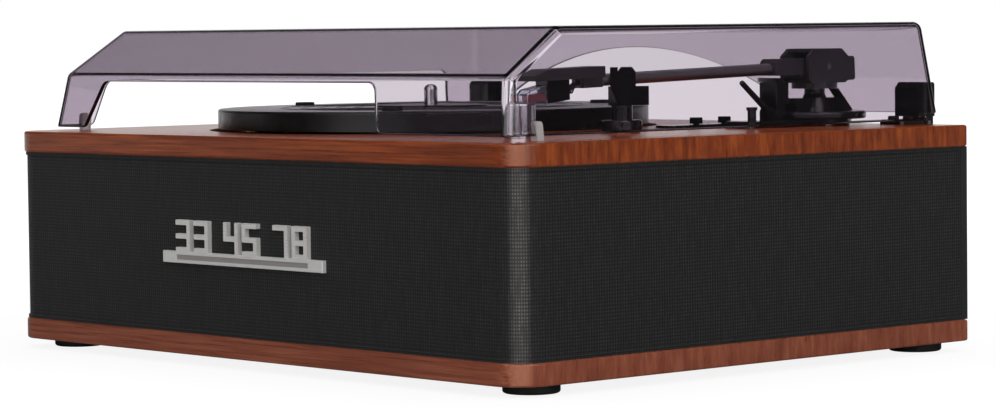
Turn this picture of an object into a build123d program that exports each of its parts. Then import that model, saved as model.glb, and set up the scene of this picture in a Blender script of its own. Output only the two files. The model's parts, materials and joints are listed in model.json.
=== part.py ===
"""Table-top record player: veneered cabinet wrapped in grille cloth, belt-driven platter, black tonearm
and a smoked cover that hinges at the rear. Millimetres, +Z up, +X right along the front, -Y is the front."""

import os
from math import acos, atan2, cos, hypot, radians, sin, tan

from build123d import *

# Running fits and seats
SHAFT_FIT = 0.04
SEAT_GAP = 0.05
SWEEP_GAP = 0.3
SCREW_FIT = 0.1

# Cabinet
WIDTH = 400.0
DEPTH = 311.3
FOOT_HEIGHT = 5.0
BASE_THICK = 11.0
WALL_HEIGHT = 88.5
DECK_THICK = 11.0
CORNER_RADIUS = 17.0
BOARD_EDGE_RADIUS = 1.2
CLOTH_INSET = 1.4
CLOTH_THICK = 1.2
CLOTH_WELT_HEIGHT = 1.6
CLOTH_WELT_PROUD = 0.7
WALL_THICK = 10.0
REAR_PANEL_THICK = 6.0
REAR_PANEL_PROUD = 3.2
REAR_PANEL_BEVEL = 1.4
FOOT_RADIUS = 13.5
FOOT_SIDE_INSET = 21.5
FOOT_FRONT_INSET = 27.0
FOOT_REAR_INSET = 16.0
FOOT_EDGE = 1.5

# Badge on the front
BADGE_X = -1.5
BADGE_LENGTH = 127.5
BADGE_HEIGHT = 6.0
BADGE_THICK = 2.4
BADGE_RISE = 38.2
BADGE_CHANNEL_DEPTH = 0.8
BADGE_CHANNEL_HEIGHT = 2.6
BADGE_END = 11.0
BADGE_TEXT = "33 45 78"
DIGIT_HEIGHT = 16.4
DIGIT_WIDTH = 11.6
DIGIT_PITCH = 14.8
FIGURE_PITCH = 39.1
DIGIT_STROKE = 2.6
DIGIT_THICK = 2.6
DIGIT_ROOT = 0.5
BADGE_STUD_RADIUS = 1.2
BADGE_STUD_LENGTH = 6.0
BADGE_STUD_SPREAD = 76.5
BADGE_EDGE = 0.5

# Loudspeakers behind the front baffle
SPEAKER_INSET = 72.0
SPEAKER_HOLE_RADIUS = 34.0
SPEAKER_FLANGE_SIDE = 80.0
SPEAKER_FLANGE_THICK = 2.0
SPEAKER_DEPTH = 26.0
SPEAKER_BACK_RADIUS = 20.0
SPEAKER_WALL = 1.6
SPEAKER_FLANGE_CORNER = 6.0
SPEAKER_SCREW_INSET = 5.0
TERMINAL_WIDTH = 14.0
TERMINAL_DEPTH = 8.0
TERMINAL_HEIGHT = 8.0
TERMINAL_RISE = 1.0
CONE_WALL = 0.9
CONE_NECK_RADIUS = 9.0
CONE_DEPTH = 16.0
CONE_ROLL_WIDTH = 5.0
CONE_ROLL_RADIUS = 1.6
MAGNET_RADIUS = 26.0
MAGNET_THICK = 13.0
MAGNET_EDGE = 1.0

# Platter, spindle and bearing
PLATTER_X = -35.2
PLATTER_Y = 0.0
PLATTER_RADIUS = 113.5
PLATTER_RIM_HEIGHT = 10.0
PLATTER_RISE = 11.0
PLATTER_WEB = 3.0
PLATTER_SKIRT = 3.0
PLATTER_EDGE = 1.2
LABEL_RADIUS = 30.0
LABEL_RISE = 0.8
DRIVE_RING_RADIUS = 80.0
DRIVE_RING_WALL = 3.0
DRIVE_RING_DROP = 15.0
HUB_RADIUS = 12.0
HUB_DROP = 11.5
RIB_COUNT = 6
RIB_THICK = 2.4
RIB_DROP = 5.0
PAD_COUNT = 3
PAD_RADIUS = 5.2
PAD_HEIGHT = 1.7
PAD_CIRCLE = 94.0
PAD_START = 67.0
PAD_EDGE = 0.6
SPINDLE_RADIUS = 3.57
SPINDLE_RISE = 11.4
SPINDLE_DOME = 2.8
SPINDLE_SHANK_RADIUS = 4.5
BEARING_SHAFT_RADIUS = 3.0
SHAFT_END_BEVEL = 0.5
BEARING_LENGTH = 22.0
BUSH_WALL = 2.6
WELL_RADIUS = 118.0
TRAY_RADIUS = 127.0
TRAY_THICK = 2.0
TRAY_SCREW_COUNT = 6
TRAY_SCREW_START = 15.0
PULLEY_OPENING = 3.0
THRUST_THICK = 1.5
HOUSING_WALL = 2.4

# Motor, pulley and belt
MOTOR_ANGLE = 222.0
MOTOR_DISTANCE = 97.0
MOTOR_RADIUS = 14.0
MOTOR_LENGTH = 22.0
MOTOR_SHAFT_RADIUS = 1.0
MOTOR_EDGE = 1.5
MOTOR_END = 4.0
MOTOR_EAR_RADIUS = 22.0
MOTOR_EAR_THICK = 1.4
GROMMET_RADIUS = 3.2
GROMMET_THICK = 2.0
PULLEY_RADIUS = 6.0
PULLEY_FLANGE = 1.2
BELT_WIDTH = 4.0
BELT_THICK = 0.7
BELT_GAP = 0.15

# Tonearm, drawn along -Y from its pivot, sloped down to the headshell and turned to its rest angle
PIVOT_X = 131.6
PIVOT_REAR_INSET = 40.75
ARM_REST_ANGLE = 4.56
ARM_SLOPE = 1.75
ARM_AXIS_RISE = 30.2
ARM_BASE_RADIUS = 26.5
ARM_BASE_NECK_RADIUS = 19.0
ARM_BASE_NECK = 3.4
ARM_BASE_THICK = 3.9
ARM_BASE_EDGE = 1.2
COLUMN_RADIUS = 5.3
COLLAR_RADIUS = 9.0
COLLAR_HEIGHT = 9.0
BOSS_FRONT = 17.0
BOSS_REAR = 17.0
BOSS_WIDTH = 10.0
BOSS_HEIGHT = 6.8
STRUT_REACH = 25.6
STRUT_HEAD = 15.6
STRUT_THICK = 4.2
STRUT_WIDTH = 3.2
YAW_SHAFT_RADIUS = 2.0
YAW_SHAFT_LENGTH = 14.0
YOKE_DISC_RADIUS = 11.8
YOKE_DISC_RISE = 18.9
YOKE_DISC_THICK = 2.9
YOKE_FLOOR = 1.6
YOKE_WIDTH = 22.0
YOKE_CHEEK = 2.6
YOKE_LENGTH = 27.4
YOKE_TOP_LENGTH = 18.2
YOKE_TOP_ABOVE_AXIS = 9.2
YOKE_SLANT = 3.9
YOKE_BRIDGE = 1.8
GIMBAL_FRONT = 31.9
GIMBAL_REAR = 10.0
GIMBAL_WIDTH = 12.6
GIMBAL_STEP = 15.5
GIMBAL_TOP_ABOVE_AXIS = 4.2
GIMBAL_BEVEL = 1.8
PITCH_PIN_RADIUS = 1.5
PITCH_PIN_SOCKET = 3.5
PITCH_BOSS_RADIUS = 3.4
TUBE_RADIUS = 3.0
TUBE_WALL = 0.6
TUBE_SOCKET = 9.0
HEADSHELL_REAR = 145.2
HEADSHELL_FRONT = 188.5
HEADSHELL_WIDTH = 14.0
HEADSHELL_TOP = 7.0
HEADSHELL_LOW = 1.5
HEADSHELL_NOSE = 8.3
HEADSHELL_NOSE_TOP = 4.0
HEADSHELL_WALL = 1.6
HEADSHELL_EDGE = 0.6
SOCKET_LENGTH = 12.0
CARTRIDGE_REAR = 166.0
CARTRIDGE_FRONT = 179.8
CARTRIDGE_WIDTH = 9.0
CARTRIDGE_REAR_DROP = 8.4
CARTRIDGE_FRONT_DROP = 9.6
GUARD_FRONT = 192.0
GUARD_WIDTH = 8.0
GUARD_WALL = 0.8
GUARD_TOP_DROP = 0.6
GUARD_FRONT_DROP = 2.4
GUARD_RISE = 13.5
STYLUS_FRONT = 189.5
STYLUS_WIDTH = 5.6
STYLUS_TOP_DROP = 4.4
STYLUS_TIP_DISTANCE = 187.6
STYLUS_TIP_RISE = 14.8
STYLUS_TIP_RADIUS = 0.35
LEAD_RADIUS = 0.45
LEAD_COUNT = 4
LEAD_PITCH = 1.9
LEAD_END_PITCH = 1.045
LEAD_BEND = 1.4
LEAD_RISE = 3.2
LEAD_STRAIGHT = 0.3
WEIGHT_FRONT = 14.4
WEIGHT_LENGTH = 9.4
WEIGHT_SIDE = 12.4
WEIGHT_DROP = 1.8
WEIGHT_EDGE = 1.0
WEIGHT_STUB_RADIUS = 3.0

# Arm rest, lift and cue lever
REST_DISTANCE = 129.3
REST_BASE_RADIUS = 10.0
REST_BASE_HEIGHT = 6.0
REST_POST_RADIUS = 5.2
REST_SHELF_THICK = 9.4
REST_SHELF_REAR = 116.6
REST_SHELF_FRONT = 134.5
REST_HORN_THICK = 2.4
REST_HORN_ABOVE_TUBE = 5.8
REST_HORN_REAR = 125.0
REST_HORN_FRONT = 139.4
REST_NUB = 3.0
REST_NOTCH = 2.0
REST_HORN_ROUND = 2.4
REST_BASE_EDGE = 1.0
REST_SPIGOT_RADIUS = 4.0
REST_SPIGOT_LENGTH = 9.0
LIFT_DISTANCE = 28.1
LIFT_WIDTH = 13.0
LIFT_LENGTH = 9.0
LIFT_WALL = 1.4
LIFT_SLIDE_FIT = 0.15
LIFT_TRAVEL = 4.0
LIFT_ROOF = 1.4
LIFT_CLEARANCE = 1.2
LIFT_CORNER = 0.8
LIFT_STEM_RADIUS = 1.5
LIFT_STEM_LENGTH = 9.0
LIFT_BAR_THICK = 2.2
LIFT_BAR_WALL = 3.0
LIFT_BAR_RIGHT = 10.0
LIFT_BAR_LEFT = 44.0
LUG_LEFT = -3.0
LUG_RIGHT = 17.5
LUG_FRONT = 60.0
LUG_CORNER = 4.0
LEVER_DISTANCE = 39.5
LEVER_RISE = 7.2
LEVER_ANGLE = 40.0
LEVER_LENGTH = 24.0
LEVER_TIP_RADIUS = 1.4
LEVER_ROOT_RADIUS = 2.0
LEVER_HUB_RADIUS = 2.9
LEVER_HUB_THICK = 3.2
LEVER_PIN_RADIUS = 1.0
LEVER_EAR_THICK = 2.4
LEVER_SIDE = 9.0
STOP_SIDE = 14.2
STOP_DISTANCE = 56.2
STOP_RADIUS = 2.2
STOP_CAP_RADIUS = 2.8
STOP_RISE = 10.6
STOP_CAP_THICK = 1.6
CLAMP_NUT_WIDTH = 4.0
CLAMP_NUT_THICK = 5.0
CLAMP_WASHER_THICK = 1.2

# Controls on the deck
KNOB_X = 137.7
KNOB_FRONT_INSET = 58.25
KNOB_RADIUS = 7.4
KNOB_HEIGHT = 16.0
KNOB_DISH = 0.4
KNOB_RIM = 1.6
KNOB_CAP = 3.0
KNOB_EDGE = 0.6
POT_SHAFT_RADIUS = 3.0
POT_BUSH_WALL = 1.2
POT_BODY_RADIUS = 8.5
POT_BODY_HEIGHT = 9.0
POT_FLOOR = 3.0
SWITCH_X = 95.0
SWITCH_REAR_INSET = 87.65
SWITCH_PLATE_WIDTH = 14.0
SWITCH_PLATE_LENGTH = 54.0
SWITCH_PLATE_THICK = 1.2
SPEED_SWITCH_OFFSET = 1.0
STOP_SWITCH_OFFSET = 19.9
SWITCH_CAP_WIDTH = 5.0
SWITCH_CAP_LENGTH = 4.4
SWITCH_CAP_HEIGHT = 4.8
SWITCH_CAP_EDGE = 0.5
SWITCH_STEM_WIDTH = 2.4
SWITCH_STEM_DEPTH = 5.0
SWITCH_BODY_WALL = 2.0
SWITCH_BODY_DEPTH = 8.0
SWITCH_PLATE_CORNER = 3.0
SPEED_TRAVEL = 8.0
STOP_TRAVEL = 4.0

# Smoked cover
COVER_WALL = 2.5
COVER_GAP = 2.2
COVER_HALF_BOTTOM = 179.5
COVER_HALF_TOP = 172.4
COVER_FRONT_INSET = 13.25
COVER_FOLD_BACK = 4.7
COVER_FOLD_RISE = 30.1
COVER_SLOPE_BACK = 39.7
COVER_TOP_RISE = 52.8
COVER_REAR_OVERHANG = 4.55
COVER_REAR_LEAN = 5.0
COVER_REAR_GAP = 5.6
COVER_EDGE_RADIUS = 5.0
OPENING_RISE = 26.4
FRONT_OPENING_LEFT = 27.3
FRONT_OPENING_LEFT_LEAN = 13.2
FRONT_OPENING_RIGHT_TOP = 80.3
FRONT_OPENING_RIGHT_LOW = 85.9
SIDE_OPENING_FRONT = 24.3
SIDE_OPENING_FRONT_LEAN = 8.1
SIDE_OPENING_REAR = 22.9
SIDE_OPENING_REAR_LEAN = 3.8
OPENING_FLARE = 4.0
OPENING_CORNER = 6.0
ARCH_X = -40.0
ARCH_RISE = 40.3
ARCH_RADIUS = 222.0
BUMPER_FRONT_INSET = 32.65
BUMPER_LENGTH = 4.2
BUMPER_HEIGHT = 9.0
BUMPER_WALL = 1.0

# Cover hinges
HINGE_SIDE_GAP = 2.29
HINGE_WIDTH = 16.0
HINGE_PIVOT_OVERHANG = 3.95
HINGE_PIVOT_RISE = 0.6
HINGE_BARREL_RADIUS = 2.9
HINGE_PIN_RADIUS = 1.2
HINGE_MIDDLE = 6.0
HINGE_JAW_RISE = 21.5
HINGE_WEB_RISE = 3.85
HINGE_INNER_INSET = 6.05
HINGE_OUTER_OVERHANG = 8.05
HINGE_JAW_BEVEL = 3.0
HINGE_LEAF_THICK = 2.4
HINGE_LEAF_CORNER = 2.0
HINGE_LEAF_INSET = 17.65
HINGE_SCREW_SPREAD = 5.0
HINGE_SCREW_INSET = 10.65
HINGE_SCREW_LENGTH = 8.0

# Rear panel fittings
INLET_X = -150.0
INLET_RISE = 30.0
INLET_BORE_RADIUS = 2.8
INLET_RADIUS = 5.5
LINE_OUT_X = -118.0
LINE_OUT_PITCH = 14.0
LINE_OUT_RADIUS = 4.1
LINE_OUT_BORE_RADIUS = 2.6
SOCKET_DEPTH = 12.0
SOCKET_FLANGE = 1.4
SOCKET_LIP = 2.0
SOCKET_FLOOR = 2.0
INLET_PIN_RADIUS = 1.0
PANEL_SCREW_INSET = 9.0

# Amplifier board and wiring
BOARD_X = 118.0
BOARD_REAR_INSET = 95.65
BOARD_LENGTH = 86.0
BOARD_WIDTH = 58.0
BOARD_SHEET = 1.6
STANDOFF_HEIGHT = 5.0
STANDOFF_RADIUS = 3.4
STANDOFF_INSET = 5.0
CAPACITOR_RADIUS = 6.5
CAPACITOR_HEIGHT = 20.0
CAPACITOR_X = 106.0
CAPACITOR_PITCH = 15.0
SINK_X = 134.0
SINK_FINS = 5
SINK_FIN = 1.6
SINK_PITCH = 4.6
SINK_DEPTH = 26.0
SINK_HEIGHT = 16.0
PLUG_WIDTH = 8.0
PLUG_LENGTH = 6.0
PLUG_HEIGHT = 7.0
FRONT_PLUGS = (94.0, 110.0, 126.0)
REAR_PLUGS = (90.0, 99.0, 108.0)
MOTOR_PLUG_OFFSET = -10.0
WIRE_RADIUS = 1.3
CABLE_BEND = 11.0
CABLE_DROP = 17.0
LEFT_RUN_STEP = 20.05
RIGHT_RUN_STEP = 39.0
VOLUME_RISE_STEP = 5.9
REAR_RUN_INSET = 42.65
REAR_RUN_PITCH = 8.5
REAR_CABLE_BEND = 6.0
CABLE_STEP = 7.0
SWITCH_CABLE_X = 88.0
SWITCH_CABLE_OFFSET = -2.0
SWITCH_CABLE_HIGH_Z = 76.0
SWITCH_CABLE_LOW_Z = 48.0

# Screws
SCREW_RADIUS = 1.5
SCREW_HEAD_RADIUS = 2.9
SCREW_HEAD_HEIGHT = 1.8
SCREW_HEAD_EDGE = 0.8
SCREW_SLOT_WIDTH = 0.7
SCREW_SLOT_DEPTH = 0.6
SCREW_SLOT_LENGTH = 3.8
WOOD_SCREW_LENGTH = 10.0
PANEL_SCREW_LENGTH = 18.0
FOOT_SCREW_SEAT = 2.8
PILOT_EXTRA = 1.0

# Heights and planes that follow from the sizes above
BASE_Z = FOOT_HEIGHT
WALL_Z = BASE_Z + BASE_THICK
BOARD_UNDER_Z = WALL_Z + WALL_HEIGHT
DECK_Z = BOARD_UNDER_Z + DECK_THICK
FRONT_Y = -DEPTH / 2
REAR_Y = DEPTH / 2
WALL_INSET = CLOTH_INSET + CLOTH_THICK
SPEAKER_X = WIDTH / 2 - SPEAKER_INSET
PIVOT_Y = REAR_Y - PIVOT_REAR_INSET
KNOB_Y = FRONT_Y + KNOB_FRONT_INSET
SWITCH_PLATE_Y = REAR_Y - SWITCH_REAR_INSET
SPEED_SWITCH_Y = SWITCH_PLATE_Y + SPEED_SWITCH_OFFSET
STOP_SWITCH_Y = SWITCH_PLATE_Y + STOP_SWITCH_OFFSET
BOARD_Y = REAR_Y - BOARD_REAR_INSET
MOTOR_PLUG_Y = BOARD_Y + MOTOR_PLUG_OFFSET
CLOTH_FACE_Y = FRONT_Y + CLOTH_INSET
BAFFLE_FACE_Y = FRONT_Y + WALL_INSET
BAFFLE_BACK_Y = BAFFLE_FACE_Y + WALL_THICK
REAR_PANEL_FRONT_Y = REAR_Y + REAR_PANEL_PROUD - REAR_PANEL_THICK
REAR_PANEL_FACE_Y = REAR_Y + REAR_PANEL_PROUD
PLATTER_TOP_Z = DECK_Z + PLATTER_RISE
PLATTER_WEB_Z = PLATTER_TOP_Z - PLATTER_WEB
HUB_BOTTOM_Z = PLATTER_WEB_Z - HUB_DROP
BUSH_TOP_Z = HUB_BOTTOM_Z - 2 * SWEEP_GAP
SHAFT_BOTTOM_Z = BUSH_TOP_Z - BEARING_LENGTH
ARM_Z = DECK_Z + ARM_AXIS_RISE
ARM_BASE_TOP_Z = DECK_Z + ARM_BASE_NECK + ARM_BASE_THICK
YOKE_DISC_Z = DECK_Z + YOKE_DISC_RISE
YOKE_FLOOR_Z = YOKE_DISC_Z + YOKE_DISC_THICK
PIVOT_ANGLE = -ARM_REST_ANGLE
MOTOR_X = PLATTER_X + MOTOR_DISTANCE * cos(radians(MOTOR_ANGLE))
MOTOR_Y = PLATTER_Y + MOTOR_DISTANCE * sin(radians(MOTOR_ANGLE))
BELT_Z = PLATTER_WEB_Z - DRIVE_RING_DROP + PULLEY_FLANGE + BELT_GAP
HINGE_PIVOT_Z = DECK_Z + HINGE_PIVOT_RISE
COVER_LOW_Z = DECK_Z + COVER_GAP
COVER_HIGH_Z = DECK_Z + COVER_TOP_RISE
COVER_LEAN = (COVER_HALF_BOTTOM - COVER_HALF_TOP) / (COVER_HIGH_Z - COVER_LOW_Z)
COVER_FRONT_Y = FRONT_Y + COVER_FRONT_INSET
COVER_FOLD_Y = COVER_FRONT_Y + COVER_FOLD_BACK
COVER_TOP_Y = COVER_FRONT_Y + COVER_SLOPE_BACK
COVER_REAR_BOTTOM_Y = REAR_Y + COVER_REAR_OVERHANG
COVER_REAR_TOP_Y = COVER_REAR_BOTTOM_Y - COVER_REAR_LEAN
HINGE_PIVOT_Y = REAR_Y + HINGE_PIVOT_OVERHANG
HINGE_INNER_Y = REAR_Y - HINGE_INNER_INSET
HINGE_OUTER_Y = REAR_Y + HINGE_OUTER_OVERHANG
HINGE_SCREW_Y = REAR_Y - HINGE_SCREW_INSET
CLIP_TOP_WALL_X = COVER_HALF_BOTTOM - COVER_LEAN * (HINGE_JAW_RISE - COVER_GAP)
CLIP_ROOM_X = min(CLIP_TOP_WALL_X, COVER_HALF_BOTTOM)
HINGE_X = CLIP_ROOM_X - COVER_WALL - HINGE_SIDE_GAP - HINGE_WIDTH / 2
REARMOST_Y = HINGE_OUTER_Y
FRAME_SHIFT = -(REARMOST_Y + FRONT_Y) / 2
SWITCHES = ((SPEED_SWITCH_Y, SPEED_TRAVEL), (STOP_SWITCH_Y, STOP_TRAVEL))


def rod(radius, z_low, z_high, x=0.0, y=0.0):
    """Upright cylinder between two heights."""
    return Pos(x, y, (z_low + z_high) / 2) * Cylinder(radius, z_high - z_low)


def tube_between(outer, inner, z_low, z_high, x=0.0, y=0.0):
    """Upright tube between two heights."""
    return rod(outer, z_low, z_high, x, y) - rod(inner, z_low - 1, z_high + 1, x, y)


def block(x0, x1, y0, y1, z0, z1):
    """Box given by its faces."""
    centre = Pos((x0 + x1) / 2, (y0 + y1) / 2, (z0 + z1) / 2)
    return centre * Box(x1 - x0, y1 - y0, z1 - z0)


def rod_x(radius, x0, x1, y, z):
    """Cylinder along X."""
    return Pos((x0 + x1) / 2, y, z) * Rot(0, 90, 0) * Cylinder(radius, x1 - x0)


def rod_y(radius, y0, y1, x, z):
    """Cylinder along Y."""
    return Pos(x, (y0 + y1) / 2, z) * Rot(90, 0, 0) * Cylinder(radius, y1 - y0)


def cabinet_plan(inset, rear_y):
    """Cabinet outline seen from above, with round front corners, pulled in at the front and sides."""
    half = WIDTH / 2 - inset
    front = FRONT_Y + inset
    radius = CORNER_RADIUS - inset
    outline = Pos(0, (front + rear_y) / 2) * Rectangle(2 * half, rear_y - front)
    corners = outline.vertices().sort_by(Axis.Y)[:2]
    return fillet(corners, radius)


def slab(z_low, z_high):
    """Veneered board with its long edges broken."""
    board = Pos(0, 0, z_low) * extrude(cabinet_plan(0, REAR_Y), z_high - z_low)
    rims = board.edges().filter_by(Axis.Z, reverse=True)
    return fillet(rims, BOARD_EDGE_RADIUS)


def foot_places():
    """Centres of the four feet."""
    x = WIDTH / 2 - FOOT_SIDE_INSET
    front = FOOT_FRONT_INSET - DEPTH / 2
    rear = DEPTH / 2 - FOOT_REAR_INSET
    return [(-x, front), (x, front), (-x, rear), (x, rear)]


def joined(solids):
    """Several separate solids kept as one group."""
    return Compound(children=[part for solid in solids for part in solid.solids()])


def screw(head_out, x, y, z, length):
    """Pan-head screw with its head towards head_out and its shank the other way."""
    head = rod(SCREW_HEAD_RADIUS, 0, SCREW_HEAD_HEIGHT)
    head = fillet(head.edges().sort_by(Axis.Z)[-1:], SCREW_HEAD_EDGE)
    slot = Pos(0, 0, SCREW_HEAD_HEIGHT) * Box(SCREW_SLOT_LENGTH, SCREW_SLOT_WIDTH, 2 * SCREW_SLOT_DEPTH)
    cross = Rot(0, 0, 90) * slot
    shape = head + rod(SCREW_RADIUS, -length, 0) - slot - cross
    turn = Plane(origin=(x, y, z), z_dir=head_out)
    return turn.location * shape


def screw_hole(direction, x, y, z, length):
    """Pilot hole for the shank of a screw that goes in along -direction."""
    shape = rod(SCREW_RADIUS + SCREW_FIT, -length, 0.5)
    turn = Plane(origin=(x, y, z), z_dir=direction)
    return turn.location * shape


def tray_screw_places():
    """Screws through the tray's flange into the underside of the deck."""
    ring = (WELL_RADIUS + TRAY_RADIUS) / 2
    places = []
    for index in range(TRAY_SCREW_COUNT):
        angle = radians(360 * index / TRAY_SCREW_COUNT + TRAY_SCREW_START)
        places.append((PLATTER_X + ring * cos(angle), PLATTER_Y + ring * sin(angle)))
    return places


def panel_screw_places():
    """Screws that hold the rear panel to the side walls."""
    x = WIDTH / 2 - WALL_INSET - WALL_THICK / 2
    low = WALL_Z + PANEL_SCREW_INSET
    high = BOARD_UNDER_Z - PANEL_SCREW_INSET
    return [(side * x, z) for side in (-1, 1) for z in (low, high)]


def base_board():
    """Bottom board with pilot holes for the feet."""
    board = slab(BASE_Z, WALL_Z)
    for x, y in foot_places():
        tip = FOOT_SCREW_SEAT + WOOD_SCREW_LENGTH + PILOT_EXTRA
        board -= rod(SCREW_RADIUS + SCREW_FIT, BASE_Z - 1, tip, x, y)
    for x, y in standoff_places():
        tip = board_top_z() - WOOD_SCREW_LENGTH - PILOT_EXTRA
        board -= rod(SCREW_RADIUS + SCREW_FIT, tip, WALL_Z + 1, x, y)
    return board


def top_board():
    """Deck with the platter well and the holes that the arm, knob, switches and hinges need."""
    board = slab(BOARD_UNDER_Z, DECK_Z)
    low = BOARD_UNDER_Z - 1
    high = DECK_Z + 1
    board -= rod(WELL_RADIUS, low, high, PLATTER_X, PLATTER_Y)
    board -= rod(POT_SHAFT_RADIUS + POT_BUSH_WALL + SCREW_FIT, low, high, KNOB_X, KNOB_Y)
    board -= rod(COLUMN_RADIUS + SCREW_FIT, low, high, PIVOT_X, PIVOT_Y)
    rest_x, rest_y = along_arm(REST_DISTANCE)
    board -= rod(REST_SPIGOT_RADIUS + SCREW_FIT, low, high, rest_x, rest_y)
    for y, travel in SWITCHES:
        width, length = switch_body_size(travel)
        board -= Pos(SWITCH_X, y, DECK_Z) * Box(width + 2 * SCREW_FIT, length + 2 * SCREW_FIT, 3 * DECK_THICK)
    for x, y in tray_screw_places():
        tip = BOARD_UNDER_Z - TRAY_THICK + WOOD_SCREW_LENGTH + PILOT_EXTRA
        board -= rod(SCREW_RADIUS + SCREW_FIT, low, tip, x, y)
    for x, y in leaf_screw_places():
        tip = DECK_Z + HINGE_LEAF_THICK - HINGE_SCREW_LENGTH - PILOT_EXTRA
        board -= rod(SCREW_RADIUS + SCREW_FIT, tip, high, x, y)
    return board


def front_baffle():
    """Front wall between the corner posts, with a hole for each loudspeaker."""
    half = WIDTH / 2 - CORNER_RADIUS
    wall = block(-half, half, BAFFLE_FACE_Y, BAFFLE_BACK_Y, WALL_Z, BOARD_UNDER_Z)
    middle = (WALL_Z + BOARD_UNDER_Z) / 2
    for side in (-1, 1):
        hole = rod_y(SPEAKER_HOLE_RADIUS, BAFFLE_FACE_Y - 1, BAFFLE_BACK_Y + 1, side * SPEAKER_X, middle)
        wall -= hole
    for x, z in speaker_screw_places():
        depth = WOOD_SCREW_LENGTH - SPEAKER_FLANGE_THICK + PILOT_EXTRA
        wall -= screw_hole((0, 1, 0), x, BAFFLE_BACK_Y, z, depth)
    for x in badge_stud_places():
        depth = BADGE_STUD_LENGTH - CLOTH_THICK + 1
        wall -= rod_y(BADGE_STUD_RADIUS + SCREW_FIT, BAFFLE_FACE_Y - 1, BAFFLE_FACE_Y + depth, x, badge_z())
    return wall


def corner_posts():
    """Quarter-round posts that carry the cloth round the front corners."""
    radius = CORNER_RADIUS - WALL_INSET
    posts = []
    for side in (-1, 1):
        x = side * (WIDTH / 2 - CORNER_RADIUS)
        y = FRONT_Y + CORNER_RADIUS
        post = rod(radius, WALL_Z, BOARD_UNDER_Z, x, y)
        keep_x = (x, x + side * radius) if side > 0 else (x - radius, x)
        post &= block(keep_x[0], keep_x[1], y - radius, y, WALL_Z, BOARD_UNDER_Z)
        posts.append(post)
    return joined(posts)


def side_panel(side):
    """Side wall from the corner post to the rear panel."""
    outer = WIDTH / 2 - WALL_INSET
    x0, x1 = sorted((side * outer, side * (outer - WALL_THICK)))
    wall = block(x0, x1, FRONT_Y + CORNER_RADIUS, REAR_PANEL_FRONT_Y, WALL_Z, BOARD_UNDER_Z)
    for x, z in panel_screw_places():
        if x * side > 0:
            depth = PANEL_SCREW_LENGTH - REAR_PANEL_THICK + PILOT_EXTRA
            wall -= screw_hole((0, 1, 0), x, REAR_PANEL_FRONT_Y, z, depth)
    return wall


def rear_panel():
    """Black rear panel, a little proud of the boards, with its fittings' holes."""
    half = WIDTH / 2 - CLOTH_INSET
    panel = block(-half, half, REAR_PANEL_FRONT_Y, REAR_PANEL_FACE_Y, WALL_Z, BOARD_UNDER_Z)
    rim = panel.faces().sort_by(Axis.Y)[-1].edges()
    panel = chamfer(rim, REAR_PANEL_BEVEL)
    deep = REAR_PANEL_FRONT_Y - 1
    out = REAR_PANEL_FACE_Y + 1
    z = WALL_Z + INLET_RISE
    panel -= rod_y(INLET_RADIUS + SCREW_FIT, deep, out, INLET_X, z)
    for x in line_out_places():
        panel -= rod_y(LINE_OUT_RADIUS + SCREW_FIT, deep, out, x, z)
    for x, screw_z in panel_screw_places():
        panel -= rod_y(SCREW_RADIUS + SCREW_FIT, deep, out, x, screw_z)
    return panel


def panel_screws():
    """Screws through the rear panel."""
    face = REAR_PANEL_FACE_Y
    return joined([screw((0, 1, 0), x, face, z, PANEL_SCREW_LENGTH) for x, z in panel_screw_places()])


def grille_cloth():
    """Woven cloth round the front and sides, with a welt at its upper and lower edges."""
    def band(inset, z_low, z_high):
        outer = cabinet_plan(inset, REAR_PANEL_FRONT_Y)
        inner = cabinet_plan(WALL_INSET, REAR_PANEL_FRONT_Y + 1)
        return Pos(0, 0, z_low) * extrude(outer - inner, z_high - z_low)
    cloth = band(CLOTH_INSET, WALL_Z, BOARD_UNDER_Z)
    proud = CLOTH_INSET - CLOTH_WELT_PROUD
    cloth += band(proud, WALL_Z, WALL_Z + CLOTH_WELT_HEIGHT)
    cloth += band(proud, BOARD_UNDER_Z - CLOTH_WELT_HEIGHT, BOARD_UNDER_Z)
    for x in badge_stud_places():
        cloth -= rod_y(BADGE_STUD_RADIUS + SCREW_FIT, FRONT_Y - 1, BAFFLE_FACE_Y + 1, x, badge_z())
    return cloth


def feet():
    """Moulded rubber feet, each with a recess for its screw."""
    pads = []
    for x, y in foot_places():
        pad = rod(FOOT_RADIUS, 0, BASE_Z, x, y)
        pad = fillet(pad.edges().group_by(Axis.Z)[0], FOOT_EDGE)
        pad -= rod(SCREW_HEAD_RADIUS + SWEEP_GAP, -1, FOOT_SCREW_SEAT, x, y)
        pad -= rod(SCREW_RADIUS + SCREW_FIT, 0, BASE_Z + 1, x, y)
        pads.append(pad)
    return joined(pads)


def badge_z():
    """Height of the badge bar's centre line."""
    return WALL_Z + BADGE_RISE


def badge_stud_places():
    """Two studs behind the badge bar."""
    return [BADGE_X - BADGE_STUD_SPREAD / 2, BADGE_X + BADGE_STUD_SPREAD / 2]


def badge_bar():
    """Bar under the digits, with a sunk channel and two studs through the cloth."""
    z = badge_z()
    half = BADGE_LENGTH / 2
    face = CLOTH_FACE_Y - BADGE_THICK
    bar = block(BADGE_X - half, BADGE_X + half, face, CLOTH_FACE_Y, z - BADGE_HEIGHT / 2, z + BADGE_HEIGHT / 2)
    bar = fillet(bar.faces().sort_by(Axis.Y)[0].edges(), BADGE_EDGE)
    reach = half - BADGE_END
    channel = block(BADGE_X - reach, BADGE_X + reach, face - 1, face + BADGE_CHANNEL_DEPTH,
                    z - BADGE_CHANNEL_HEIGHT / 2, z + BADGE_CHANNEL_HEIGHT / 2)
    bar -= channel
    for x in badge_stud_places():
        bar += rod_y(BADGE_STUD_RADIUS, CLOTH_FACE_Y, CLOTH_FACE_Y + BADGE_STUD_LENGTH, x, z)
    return bar


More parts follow.
